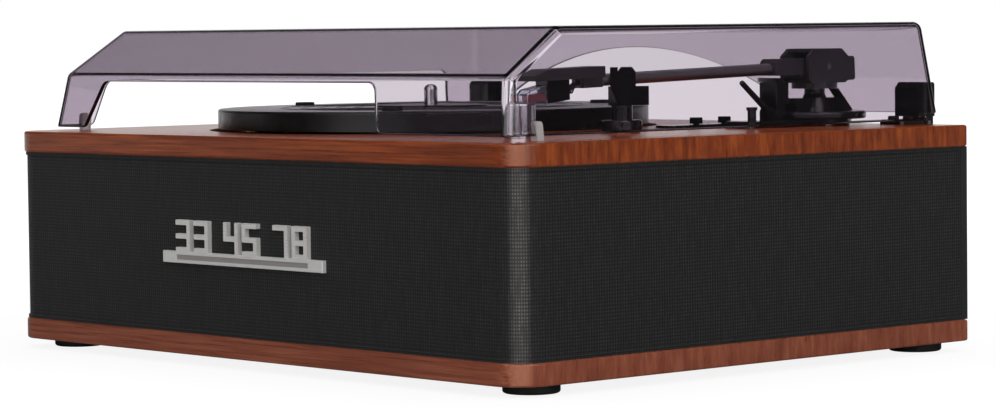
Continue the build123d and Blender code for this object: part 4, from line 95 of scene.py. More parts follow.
class CabinetLooks(bpy.types.PropertyGroup):
    veneer_dark: colour_setting("Veneer, dark grain", "Late wood of the stained veneer", "#531F0C")
    veneer_mid: colour_setting("Veneer, ground", "Main tone of the stained veneer", "#853A17")
    veneer_light: colour_setting("Veneer, light grain", "Early wood of the stained veneer", "#AC5720")
    base_dark: colour_setting("Base veneer, dark grain", "Late wood of the lower board", "#6B3423")
    base_mid: colour_setting("Base veneer, ground", "Main tone of the lower board", "#8C4A33")
    base_light: colour_setting("Base veneer, light grain", "Early wood of the lower board", "#A3624A")
    # Painted highlight: this paler tone is painted on the rounded upright corners
    veneer_corner_highlight: colour_setting("Veneer, corners", "Paler tone on the rounded corners", "#DB9A7C")
    grain_width: length_setting("Grain width", "Width of one streak of the veneer's figure", 1.3)
    grain_length: length_setting("Grain length", "Length of one streak of the veneer's figure", 60.0)
    end_streak: length_setting("Side streak", "Width of one upright streak on the short edges", 5.0)
    # The weave's hollows take the darker tone as painted shade, its crowns the lighter tone as painted highlight
    cloth_shade: colour_setting("Cloth, hollows", "Cloth between its threads", "#0B0B0C")
    cloth_thread: colour_setting("Cloth, threads", "Crowns of the cloth's threads", "#3C393A")
    # Painted highlight colour for the threads on the rounded corners
    cloth_corner_highlight: colour_setting("Cloth, corners", "Lighter threads on the rounded corners", "#86807E")
    cloth_pitch: length_setting("Cloth pitch", "Distance from thread to thread", 1.7)


class CoverLooks(bpy.types.PropertyGroup):
    smoke: FloatVectorProperty(
        name="Smoke tint", description="What the smoked acrylic lets through best", subtype="COLOR",
        size=3, min=0, max=1, default=(0.2, 0.0, 0.22))
    density: number_setting("Smoke density", "Absorption per metre of acrylic", 165)
    # The edge tint darkens the rims and folds where light runs far through the sheet, and also colours the painted
    # shade band along the foot of the walls
    edge: FloatVectorProperty(
        name="Edge tint", description="What is left of the light along the sheet's edges",
        subtype="COLOR", size=3, min=0, max=1, default=(0.035, 0.028, 0.045))
    # Painted shade: these set the height and fade of the dark band painted along the foot of the cover's walls
    foot_shade_height: length_setting("Edge height", "How high the dark cut edge at the foot reaches", 1.3)
    foot_shade_fade: length_setting("Edge fade", "Height over which the cut edge fades out", 0.4)
    rim: length_setting("Rim rounding", "How far the moulded rims are rounded", 0.8)
    roughness: number_setting("Roughness", "Roughness of the polished sheet", 0.015)


class DeckLooks(bpy.types.PropertyGroup):
    ridge_count: IntProperty(name="Ridges", description="Moulded rings on the platter", min=1, default=5)
    ridge_first: length_setting("First ridge", "Radius of the innermost ring", 42.0)
    ridge_step: length_setting("Ridge step", "Distance from ring to ring", 9.5)
    ridge_width: length_setting("Ridge width", "Width of a ring at the platter's face", 1.4)
    ridge_height: length_setting("Ridge height", "How far a ring stands out of the platter", 0.35)
    ridge_root: length_setting("Ridge root", "How far a ring reaches into the platter", 0.04)
    figure_height: length_setting("Figure height", "Type size of the switch figures", 2.5)
    word_height: length_setting("Word height", "Type size of the switch words", 1.9)
    print_thick: length_setting("Print thickness", "How far the print stands out of the plate", 0.04)
    print_offset: length_setting("Print offset", "From the switch slots to the middle of the print", 4.9)


class StudioLooks(bpy.types.PropertyGroup):
    floor_size: length_setting("Floor size", "Side of the floor", 14000.0)
    sky: number_setting("Fill", "Brightness of the surrounding light", 0.4)
    room: number_setting("Dark room", "Brightness of the room behind the camera, in reflections", 0.05)
    strip_light: number_setting("Strip light", "Brightness of the two strip lights, in reflections", 2.2)
    strip_place: number_setting("Strip place", "Sine of the angle from the camera to each strip", 0.45)
    strip_half: number_setting("Half strip", "Half the width of a strip, as a sine", 0.3)
    strip_fade: number_setting("Strip edge", "Width of a strip's soft edge, as a sine", 0.1)
    left_lamp: number_setting("Left lamp", "Power of the left softbox", 1.5)
    right_lamp: number_setting("Right lamp", "Power of the right softbox", 6)
    top_lamp: number_setting("Top lamp", "Power of the overhead softbox", 9)
    front_lamp: number_setting("Front lamp", "Power of the softbox by the camera", 13)
    lens: FloatProperty(name="Lens", description="Focal length", unit="CAMERA", min=1, default=121.84)
    stand: FloatVectorProperty(
        name="Camera place", description="Where the camera stands", subtype="TRANSLATION",
        unit="LENGTH", size=3, default=(1.31134, -1.180395, 0.16722))
    heading: angle_setting("Heading", "Turn of the camera from +Y towards -X", 47.77)
    tilt: angle_setting("Tilt", "How far the camera looks down", 3.046)
    roll: angle_setting("Roll", "Turn of the camera about its view", -0.675)


def add_node(tree, kind, inputs=None, **settings):
    """Adds a node, sets its properties, and sets or links its inputs by name or place."""
    made = tree.nodes.new(kind)
    for name, value in settings.items():
        setattr(made, name, value)
    for name, value in (inputs or {}).items():
        socket = made.inputs[name]
        if isinstance(value, bpy.types.NodeSocket):
            tree.links.new(value, socket)
        else:
            socket.default_value = value
    return made


def new_material(name):
    """Empty material with the coordinates that its patterns read."""
    material = bpy.data.materials.new(name)
    material.use_nodes = True
    tree = material.node_tree
    tree.nodes.clear()
    coordinates = add_node(tree, "ShaderNodeTexCoord")
    return material, tree, coordinates


def close_material(tree, **inputs):
    """Principled surface with the given inputs, linked to the output."""
    names = {name.replace("_", " ").title().replace("Ior", "IOR"): value for name, value in inputs.items()}
    surface = add_node(tree, "ShaderNodeBsdfPrincipled", names)
    add_node(tree, "ShaderNodeOutputMaterial", {"Surface": surface.outputs["BSDF"]})


def rgba(colour):
    """Colour socket value from linear red, green and blue."""
    return (colour[0], colour[1], colour[2], 1.0)


def blend(tree, share, first, second):
    """Colour between two colours."""
    mixed = add_node(tree, "ShaderNodeMix", {0: share, 6: first, 7: second}, data_type="RGBA")
    return mixed.outputs[2]


def stretched_noise(tree, vector, size, detail=3.0, roughness=0.55, turn=(0.0, 0.0, 0.0)):
    """Noise whose features have the given size in metres along X, Y and Z."""
    scale = tuple(1 / part for part in size)
    placed = add_node(tree, "ShaderNodeMapping", {"Vector": vector, "Rotation": turn, "Scale": scale})
    noise = add_node(tree, "ShaderNodeTexNoise", {"Vector": placed.outputs[0], "Scale": 1.0, "Detail": detail,
                                                  "Roughness": roughness})
    return noise.outputs["Fac"]


def span(tree, value, low, high, start=0.0, end=1.0):
    """Value mapped from one range to another and held inside it."""
    mapped = add_node(tree, "ShaderNodeMapRange", {"Value": value, "From Min": low, "From Max": high,
                                                   "To Min": start, "To Max": end})
    return mapped.outputs[0]


def round_corner(tree, coordinates, most):
    """Share that rises on the cabinet's rounded upright corners. It paints the light band that real
    corners show, which these lamps don't give."""
    normal = add_node(tree, "ShaderNodeSeparateXYZ", {0: coordinates.outputs["Normal"]})
    product = add_node(tree, "ShaderNodeMath", {0: normal.outputs[0], 1: normal.outputs[1]},
                       operation="MULTIPLY")
    turned = add_node(tree, "ShaderNodeMath", {0: product.outputs[0]}, operation="ABSOLUTE")
    return span(tree, turned.outputs[0], 0.38, 0.5, 0.0, most)


def stained_veneer(name, dark, middle, light, looks):
    """Walnut-type veneer, sliced, stained red-brown and sprayed with satin lacquer. The eye gets long
    streaks along the front, upright streaks on the short edges, open pores and a soft sheen."""
    material, tree, coordinates = new_material(name)
    place = coordinates.outputs["Object"]
    normal = add_node(tree, "ShaderNodeSeparateXYZ", {0: coordinates.outputs["Normal"]})
    sideways = add_node(tree, "ShaderNodeMath", {0: normal.outputs[0]}, operation="ABSOLUTE")
    on_end = span(tree, sideways.outputs[0], 0.55, 0.8)
    width = looks.grain_width
    length = looks.grain_length
    streak = looks.end_streak
    along = stretched_noise(tree, place, (length, width, width), 5.0, 0.62)
    upright = stretched_noise(tree, place, (streak, streak, length * 0.5), 6.0, 0.68, (math.radians(7), 0, 0))
    figure = add_node(tree, "ShaderNodeMix", {0: on_end, 2: along, 3: upright}).outputs[0]
    broad = stretched_noise(tree, place, (length * 1.6, length * 0.35, length * 0.25), 2.0)
    pores_along = stretched_noise(tree, place, (7 * MM, 0.5 * MM, 0.5 * MM), 1.0)
    pores_up = stretched_noise(tree, place, (0.6 * MM, 0.6 * MM, 9 * MM), 1.0)
    pores = add_node(tree, "ShaderNodeMix", {0: on_end, 2: pores_along, 3: pores_up}).outputs[0]
    ground = blend(tree, span(tree, figure, 0.22, 0.56), rgba(dark), rgba(middle))
    lit = blend(tree, span(tree, figure, 0.5, 0.78), ground, rgba(light))
    patched = blend(tree, span(tree, broad, 0.45, 0.7, 0.0, 0.4), lit, rgba(dark))
    pored = blend(tree, span(tree, pores, 0.56, 0.7, 0.0, 0.22), patched, rgba(dark))
    # Painted highlight: the rounded upright corners are painted paler
    rounded = blend(tree, round_corner(tree, coordinates, 0.3), pored, rgba(looks.veneer_corner_highlight))
    bump = add_node(tree, "ShaderNodeBump", {"Height": pores, "Strength": 0.12, "Distance": 0.1 * MM})
    close_material(tree, base_color=rounded, roughness=span(tree, figure, 0.3, 0.7, 0.24, 0.36),
                   normal=bump.outputs[0], coat_weight=0.08, coat_roughness=0.12, specular_ior_level=0.32)
    return material


def woven_grille_cloth(looks):
    """Black woven grille cloth, stretched over boards. The eye gets a fine grid of thread crowns over dark
    hollows, with the crowns painted lighter and the hollows darker as painted highlight and shade, and a painted
    highlight where it turns the corners."""
    material, tree, coordinates = new_material("woven grille cloth")
    axes = add_node(tree, "ShaderNodeSeparateXYZ", {0: coordinates.outputs["Object"]})
    across = add_node(tree, "ShaderNodeMath", {0: axes.outputs[0]}, operation="ABSOLUTE")
    around = add_node(tree, "ShaderNodeMath", {0: across.outputs[0], 1: axes.outputs[1]}, operation="ADD")
    turns = math.pi / looks.cloth_pitch
    warp = add_node(tree, "ShaderNodeMath", {0: around.outputs[0], 1: turns}, operation="MULTIPLY")
    weft = add_node(tree, "ShaderNodeMath", {0: axes.outputs[2], 1: turns}, operation="MULTIPLY")
    warp_wave = add_node(tree, "ShaderNodeMath", {0: warp.outputs[0]}, operation="SINE")
    weft_wave = add_node(tree, "ShaderNodeMath", {0: weft.outputs[0]}, operation="SINE")
    crossing = add_node(tree, "ShaderNodeMath", {0: warp_wave.outputs[0], 1: weft_wave.outputs[0]},
                        operation="MULTIPLY")
    crowns = add_node(tree, "ShaderNodeMath", {0: crossing.outputs[0]}, operation="ABSOLUTE")
    slubs = stretched_noise(tree, coordinates.outputs["Object"], (1.5 * MM, 1.5 * MM, 9 * MM), 3.0)
    lint = stretched_noise(tree, coordinates.outputs["Object"], (0.7 * MM, 0.7 * MM, 0.7 * MM), 2.0)
    height = span(tree, crowns.outputs[0], 0.25, 1.0)
    uneven = span(tree, slubs, 0.35, 0.65, 0.25, 1.0)
    specks = span(tree, lint, 0.4, 0.65, 0.35, 1.0)
    # Painted highlight and shade: the thread crowns are painted lighter and the hollows darker, by the weave's
    # height
    lit_crowns = add_node(tree, "ShaderNodeMath", {0: height, 1: uneven}, operation="MULTIPLY")
    speckled = add_node(tree, "ShaderNodeMath", {0: lit_crowns.outputs[0], 1: specks}, operation="MULTIPLY")
    woven = blend(tree, speckled.outputs[0], rgba(looks.cloth_shade), rgba(looks.cloth_thread))
    # Painted highlight: on the rounded corners the threads are painted in a lighter tone
    highlit_corner_threads = blend(tree, lit_crowns.outputs[0], rgba(looks.cloth_thread), rgba(looks.cloth_corner_highlight))
    colour = blend(tree, round_corner(tree, coordinates, 0.75), woven, highlit_corner_threads)
    bump = add_node(tree, "ShaderNodeBump", {"Height": height, "Strength": 0.5, "Distance": 0.25 * MM})
    close_material(tree, base_color=colour, roughness=0.72, normal=bump.outputs[0], specular_ior_level=0.35,
                   sheen_weight=0.08, sheen_roughness=0.4)
    return material


def plain_finish(name, hex_colour, roughness, grain, depth=0.02, shade=0.12, **sockets):
    """Even finish with a fine grain in its colour, gloss and surface. grain and depth are millimetres."""
    material, tree, coordinates = new_material(name)
    size = grain * MM
    fine = stretched_noise(tree, coordinates.outputs["Object"], (size, size, size), 2.0)
    cloudy = stretched_noise(tree, coordinates.outputs["Object"], (14 * MM, 14 * MM, 14 * MM), 2.0)
    base = linear(hex_colour)
    darker = tuple(part * (1 - shade) for part in base)
    colour = blend(tree, span(tree, fine, 0.35, 0.65), rgba(darker), rgba(base))
    gloss = span(tree, cloudy, 0.3, 0.7, roughness * 0.95, min(roughness * 1.05, 1.0))
    bump = add_node(tree, "ShaderNodeBump", {"Height": fine, "Strength": 0.35, "Distance": depth * MM})
    close_material(tree, base_color=colour, roughness=gloss, normal=bump.outputs[0], **sockets)
    return material


def brushed_metal(name, hex_colour, roughness, line, upright=False, metallic=1.0):
    """Bare metal with fine lines along X, or upright. line is the width of a line in millimetres."""
    material, tree, coordinates = new_material(name)
    width = line * MM
    length = width / 0.02
    size = (width, width, length) if upright else (length, width, width)
    lines = stretched_noise(tree, coordinates.outputs["Object"], size, 2.0)
    base = linear(hex_colour)
    darker = tuple(part * 0.86 for part in base)
    colour = blend(tree, span(tree, lines, 0.3, 0.7), rgba(darker), rgba(base))
    gloss = span(tree, lines, 0.3, 0.7, roughness * 0.8, roughness * 1.25)
    bump = add_node(tree, "ShaderNodeBump", {"Height": lines, "Strength": 0.2, "Distance": 0.02 * MM})
    close_material(tree, base_color=colour, roughness=gloss, normal=bump.outputs[0], metallic=metallic)
    return material


def badge_plating():
    """Die casting with a satin silver face. The eye gets pale silver with soft lines along it, and painted shade
    in the sunk channel of the bar, where a darker grey stands in for the shade there. It is only partly metallic:
    fully metallic, it mirrors the dark room and comes out dark."""
    material = brushed_metal("satin silver casting", "#ECEAE8", 0.34, 0.25, metallic=0.4)
    tree = material.node_tree
    surface = next(node for node in tree.nodes if node.type == "BSDF_PRINCIPLED")
    silver = surface.inputs["Base Color"].links[0].from_socket
    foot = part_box("badge")[0]
    channel_depth = 0.65 * MM
    bar_height = 4.6 * MM
    seam = 0.1 * MM
    coordinates = add_node(tree, "ShaderNodeTexCoord")
    axes = add_node(tree, "ShaderNodeSeparateXYZ", {0: coordinates.outputs["Object"]})
    facing = add_node(tree, "ShaderNodeSeparateXYZ", {0: coordinates.outputs["Normal"]})
    sunk = span(tree, axes.outputs[1], foot.y + channel_depth, foot.y + channel_depth + seam)
    bar = span(tree, axes.outputs[2], foot.z + bar_height, foot.z + bar_height + seam, 1.0, 0.0)
    front = span(tree, facing.outputs[1], -0.95, -0.9, 1.0, 0.0)
    # Painted shade, not lacquer: the front floor of the sunk channel is painted a darker grey
    lacquer = add_node(tree, "ShaderNodeMath", {0: sunk, 1: bar}, operation="MULTIPLY")
    lacquer = add_node(tree, "ShaderNodeMath", {0: lacquer.outputs[0], 1: front}, operation="MULTIPLY")
    colour = blend(tree, lacquer.outputs[0], silver, rgba(linear("#A5A19F")))
    tree.links.new(colour, surface.inputs["Base Color"])
    return material


def smoked_acrylic(looks):
    """Cast acrylic sheet, smoked purple-grey and polished. The eye gets clear grey walls whose cut edges and folds
    turn dark, because light runs far through the sheet there, and a band of painted shade along the foot of the
    walls."""
    material, tree, coordinates = new_material("smoked acrylic sheet")
    turned_away = add_node(tree, "ShaderNodeLayerWeight", {"Blend": 0.5})
    long_way = add_node(tree, "ShaderNodeMath", {0: turned_away.outputs["Facing"], 1: 2.2}, operation="POWER")
    axes = add_node(tree, "ShaderNodeSeparateXYZ", {0: coordinates.outputs["Object"]})
    # Painted shade: a dark band, painted by height, along the foot of the walls
    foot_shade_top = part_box("dust_cover")[0].z + looks.foot_shade_height
    foot_shade = span(tree, axes.outputs[2], foot_shade_top - looks.foot_shade_fade, foot_shade_top, 0.9, 0.0)
    dark = add_node(tree, "ShaderNodeMath", {0: long_way.outputs[0], 1: foot_shade}, operation="MAXIMUM")
    tint = blend(tree, dark.outputs[0], rgba((1.0, 1.0, 1.0)), rgba(looks.edge))
    sheet = add_node(tree, "ShaderNodeBsdfPrincipled", {
        "Base Color": tint, "Roughness": looks.roughness, "IOR": 1.49, "Transmission Weight": 1.0})
    clear = add_node(tree, "ShaderNodeBsdfTransparent", {"Color": (1, 1, 1, 1)})
    rays = add_node(tree, "ShaderNodeLightPath")
    surface = add_node(tree, "ShaderNodeMixShader", {
        0: rays.outputs["Is Shadow Ray"], 1: sheet.outputs[0], 2: clear.outputs[0]})
    smoke = add_node(tree, "ShaderNodeVolumeAbsorption", {
        "Color": rgba(looks.smoke), "Density": looks.density})
    add_node(tree, "ShaderNodeOutputMaterial", {"Surface": surface.outputs[0], "Volume": smoke.outputs[0]})
    return material


def clear_moulding(name, hex_colour, roughness, transmission):
    """Clear or milky moulded plastic. The eye gets pale edges and a soft view of what is behind."""
    material, tree, coordinates = new_material(name)
    size = 2.5 * MM
    cloudy = stretched_noise(tree, coordinates.outputs["Object"], (size, size, size), 2.0)
    base = linear(hex_colour)
    milky = tuple(min(part * 1.08, 1.0) for part in base)
    colour = blend(tree, span(tree, cloudy, 0.35, 0.65), rgba(base), rgba(milky))
    gloss = span(tree, cloudy, 0.3, 0.7, roughness * 0.8, roughness * 1.2)
    close_material(tree, base_color=colour, roughness=gloss, transmission_weight=transmission, ior=1.45)
    return material


def moulded_platter(name):
    """Satin black moulded platter. The eye gets fine turned lines round the spindle and a soft sheen."""
    material, tree, coordinates = new_material(name)
    line_pitch = 0.8 * MM
    low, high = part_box("platter")
    centre = (low + high) / 2
    placed = add_node(tree, "ShaderNodeMapping", {"Vector": coordinates.outputs["Object"],
                                                  "Location": (-centre.x, -centre.y, 0.0)})
    axes = add_node(tree, "ShaderNodeSeparateXYZ", {0: placed.outputs[0]})
    flat = add_node(tree, "ShaderNodeCombineXYZ", {0: axes.outputs[0], 1: axes.outputs[1]})
    radius = add_node(tree, "ShaderNodeVectorMath", {0: flat.outputs[0]}, operation="LENGTH")
    turned = add_node(tree, "ShaderNodeMath", {0: radius.outputs["Value"], 1: 2 * math.pi / line_pitch},
                      operation="MULTIPLY")
    lines = add_node(tree, "ShaderNodeMath", {0: turned.outputs[0]}, operation="SINE")
    dust = stretched_noise(tree, coordinates.outputs["Object"], (6 * MM, 6 * MM, 6 * MM), 3.0)
    base = linear("#080708")
    pale = linear("#100E0F")
    colour = blend(tree, span(tree, dust, 0.4, 0.7), rgba(base), rgba(pale))
    bump = add_node(tree, "ShaderNodeBump", {
        "Height": lines.outputs[0], "Strength": 0.12, "Distance": 0.03 * MM})
    close_material(tree, base_color=colour, roughness=span(tree, dust, 0.3, 0.7, 0.26, 0.36),
                   normal=bump.outputs[0], specular_ior_level=0.32)
    return material


def dress(materials):
    """Gives each CAD piece the material made for its slot."""
    for name, piece in NODES.items():
        material = materials.get(SLOT_OF_NODE[name])
        if material is None:
            continue
        if not piece.material_slots:
            piece.data.materials.append(material)
        for slot in piece.material_slots:
            slot.material = material


def deselect_all():
    """Leaves edit mode and selects nothing."""
    if bpy.context.object and bpy.context.object.mode != "OBJECT":
        bpy.ops.object.mode_set(mode="OBJECT")
    bpy.ops.object.select_all(action="DESELECT")


def apply_place(piece):
    """Puts a piece's place, turn and size into its mesh."""
    deselect_all()
    piece.select_set(True)
    bpy.context.view_layer.objects.active = piece
    bpy.ops.object.transform_apply(location=True, rotation=True, scale=True)


def finish_piece(piece, name, body, material):
    """Names a piece, gives it its finish and lets it ride on a body."""
    piece.name = name
    piece.data.name = name
    piece.data.materials.clear()
    piece.data.materials.append(material)
    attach(piece, body)
    return piece


class CabinetFinish(bpy.types.Operator):
    """Dress the boards, cloth, badge and feet"""
    bl_idname = "record_player.cabinet_finish"
    bl_label = "Cabinet finish"

    def execute(self, context):
        looks = context.scene.record_player_cabinet
        dress({
            "veneer": stained_veneer("stained veneer, satin lacquer", looks.veneer_dark, looks.veneer_mid,
                                     looks.veneer_light, looks),
            "veneer_base": stained_veneer("paler stained veneer, satin lacquer", looks.base_dark,
                                          looks.base_mid, looks.base_light, looks),
            # Pressed fibreboard, sawn: a dry, fibrous brown
            "panel_board": plain_finish("bare fibreboard", "#7A5C40", 0.85, 0.9, 0.06, 0.25),
            # Board sprayed with matt black paint: an even, slightly rough black
            "rear_black": plain_finish("matt black spray paint on board", "#17161A", 0.62, 0.5, 0.05),
            "cloth": woven_grille_cloth(looks),
            # Moulded rubber: a deep matt black with a faint bloom
            "rubber_black": plain_finish("moulded black rubber", "#131313", 0.68, 0.35, 0.03),
            "badge_metal": badge_plating(),
        })
        return {"FINISHED"}


class CoverFinish(bpy.types.Operator):
    """Dress the smoked cover, its bumpers and hinges"""
    bl_idname = "record_player.cover_finish"
    bl_label = "Cover finish"

    def execute(self, context):
        looks = context.scene.record_player_cover
        dress({
            "smoked_acrylic": smoked_acrylic(looks),
            # Soft clear vinyl: milky and pale, with a dull shine
            "rubber_clear": clear_moulding("soft clear vinyl", "#D9D6D4", 0.38, 0.45),
            # Moulded ABS with a polished face: near black with sharp reflections
            "gloss_black": plain_finish("polished black ABS", "#0D0C0E", 0.14, 0.6, 0.006,
                                        specular_ior_level=0.55),
            # Blackened screws: a dark oily sheen
            "screw_black": plain_finish("blackened steel", "#1A1A1B", 0.38, 0.3, 0.01, metallic=0.6),
        })
        return {"FINISHED"}


class CoverSheet(bpy.types.Operator):
    """Model the smoked cover with the rounded rims of a moulded sheet"""
    bl_idname = "record_player.cover_sheet"
    bl_label = "Cover sheet"

    def execute(self, context):
        looks = context.scene.record_player_cover
        deselect_all()
        piece = bpy.data.objects.new("cover_sheet", NODES["dust_cover"].data.copy())
        context.scene.collection.objects.link(piece)
        piece.select_set(True)
        context.view_layer.objects.active = piece
        bpy.ops.object.mode_set(mode="EDIT")
        bpy.ops.mesh.select_all(action="SELECT")
        bpy.ops.mesh.remove_doubles(threshold=0.001 * MM)
        bpy.ops.mesh.dissolve_limited(angle_limit=math.radians(0.5))
        bpy.ops.object.mode_set(mode="OBJECT")
        rims = piece.modifiers.new("rims", "BEVEL")
        rims.width = looks.rim
        rims.segments = 3
        rims.limit_method = "ANGLE"
        rims.angle_limit = math.radians(60)
        rims.use_clamp_overlap = False
        bpy.ops.object.modifier_apply(modifier=rims.name)
        bpy.ops.object.shade_smooth_by_angle(angle=math.radians(35))
        flat = piece.modifiers.new("flat_walls", "WEIGHTED_NORMAL")
        flat.weight = 100
        flat.keep_sharp = True
        bpy.ops.object.modifier_apply(modifier=flat.name)
        finish_piece(piece, "cover_sheet", "cover",
                     bpy.data.materials["smoked acrylic sheet"])
        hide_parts("dust_cover")
        return {"FINISHED"}


class DeckFinish(bpy.types.Operator):
    """Dress the platter, tonearm, knob and switches"""
    bl_idname = "record_player.deck_finish"
    bl_label = "Deck finish"

    def execute(self, context):
        looks = context.scene.record_player_deck
        dress({
            "platter_black": moulded_platter("moulded satin black platter"),
            # Aluminium and zinc parts in satin black powder coat: black with a fine orange-peel sheen
            "arm_black": plain_finish("satin black powder coat", "#3A383B", 0.38, 0.45, 0.02),
            # Drawn aluminium tube, anodised grey: a soft sheen with faint upright lines
            "tube_dark": brushed_metal("grey anodised tube", "#B4B0B4", 0.36, 0.15, upright=True),
            # Transparent red injection moulding, polished: a deep glowing red
            "stylus_red": clear_moulding("red clear moulding", "#DC5A6C", 0.2, 0.2),
            # Clear polystyrene, polished: faint grey edges
            "guard_clear": clear_moulding("clear moulding", "#E2E4EC", 0.04, 0.96),
            # Brass turned, polished and chromed: mirror bright with the faintest turning marks
            "knob_chrome": brushed_metal("polished chrome", "#E4E4E6", 0.07, 0.12),
            "spindle_steel": brushed_metal("ground steel", "#CBCBCD", 0.16, 0.12),
            # Thin silicone leads: matt brownish insulation
            "lead_wire": plain_finish("silicone lead", "#3A2C2B", 0.5, 0.2, 0.01),
        })
        return {"FINISHED"}


class InnerFinish(bpy.types.Operator):
    """Dress the pieces inside the cabinet"""
    bl_idname = "record_player.inner_finish"
    bl_label = "Inner finish"

    def execute(self, context):
        dress({
            # Zinc-plated steel: cool grey with short rolling lines
            "steel": brushed_metal("zinc-plated steel", "#A9ABAE", 0.34, 0.3),
            # Turned brass: warm yellow with fine rings
            "brass": brushed_metal("turned brass", "#C9A04D", 0.24, 0.2),
            # Natural nylon: a milky off-white
            "nylon": plain_finish("natural nylon", "#D8D6CC", 0.48, 0.8, 0.01, 0.05),
            # Pressed paper pulp, dyed black: dry and fibrous
            "cone_paper": plain_finish("black pulp paper", "#1B1A1A", 0.85, 0.7, 0.08, 0.3),
            # Sintered ferrite: dull dark grey with a fine grit
            "magnet": plain_finish("sintered ferrite", "#2B2B2E", 0.66, 0.5, 0.04, 0.2),
            # Glass-fibre board under green solder lacquer: an even wet green
            "board_green": plain_finish("green solder lacquer", "#155036", 0.28, 0.8, 0.01, 0.18),
            # Extruded PVC insulation: smooth satin black
            "wire": plain_finish("black PVC insulation", "#1E1E20", 0.42, 0.4, 0.01),
        })
        return {"FINISHED"}


class PlatterRidges(bpy.types.Operator):
    """Model the moulded rings on the platter's face"""
    bl_idname = "record_player.platter_ridges"
    bl_label = "Platter ridges"

    def execute(self, context):
        looks = context.scene.record_player_deck
        low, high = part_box("platter")
        centre = (low + high) / 2
        # The record pads stand on the platter's face
        centre.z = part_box("record_pads")[0].z
        deselect_all()
        radii = [looks.ridge_first + step * looks.ridge_step for step in range(looks.ridge_count)]
        half_width = looks.ridge_width / 2
        ring = {"location": centre, "minor_radius": half_width, "major_segments": 144, "minor_segments": 12}
        bpy.ops.mesh.primitive_torus_add(major_radius=radii[0], **ring)
        piece = bpy.context.object
        bpy.ops.object.mode_set(mode="EDIT")
        for radius in radii[1:]:
            bpy.ops.mesh.primitive_torus_add(major_radius=radius, **ring)
        bpy.ops.mesh.select_all(action="SELECT")
        flatness = looks.ridge_height / half_width
        bpy.ops.transform.resize(value=(1, 1, flatness), center_override=centre)
        bpy.ops.mesh.bisect(plane_co=centre, plane_no=(0, 0, 1), clear_inner=True)
        bpy.ops.mesh.select_all(action="SELECT")
        bpy.ops.mesh.region_to_loop()
        bpy.ops.mesh.extrude_region_move(TRANSFORM_OT_translate={"value": (0, 0, -looks.ridge_root)})
        bpy.ops.object.mode_set(mode="OBJECT")
        bpy.ops.object.shade_smooth_by_angle(angle=math.radians(40))
        apply_place(piece)
        finish_piece(piece, "platter_ridges", "platter",
                     bpy.data.materials["moulded satin black platter"])
        return {"FINISHED"}


class SwitchPrint(bpy.types.Operator):
    """Model the printed speeds and the ON and OFF beside the slide switches"""
    bl_idname = "record_player.switch_print"
    bl_label = "Switch print"

    def execute(self, context):
        looks = context.scene.record_player_deck
        travel = {joint["name"]: joint["range_m"][1] for joint in frame["joints"] if "range_m" in joint}
        speed_low, speed_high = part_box("speed_switch_cap")
        stop_low, stop_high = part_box("auto_stop_cap")
        speed = (speed_low + speed_high) / 2
        stop = (stop_low + stop_high) / 2
        plate_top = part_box("switch_panel")[1].z
        half_way = travel["speed_switch_slide"] / 2
        words = [
            ("33", speed.y, looks.figure_height), ("45", speed.y + half_way, looks.figure_height),
            ("78", speed.y + 2 * half_way, looks.figure_height), ("OFF", stop.y, looks.word_height),
            ("ON", stop.y + travel["auto_stop_slide"], looks.word_height),
        ]
        made = []
        for text, y, size in words:
            deselect_all()
            bpy.ops.object.text_add(location=(speed.x + looks.print_offset, y, plate_top))
            letters = bpy.context.object
            letters.data.body = text
            letters.data.size = size
            letters.data.align_x = "CENTER"
            letters.data.align_y = "CENTER"
            letters.data.extrude = looks.print_thick
            bpy.ops.object.convert(target="MESH")
            made.append(bpy.context.object)
        deselect_all()
        for letters in made:
            letters.select_set(True)
        bpy.context.view_layer.objects.active = made[0]
        bpy.ops.object.join()
        piece = bpy.context.object
        apply_place(piece)
        # Silk-screened ink: thin, pale and matt
        ink = plain_finish("pale screen ink", "#C9C6C2", 0.6, 0.3, 0.005)
        finish_piece(piece, "switch_print", "cabinet", ink)
        return {"FINISHED"}


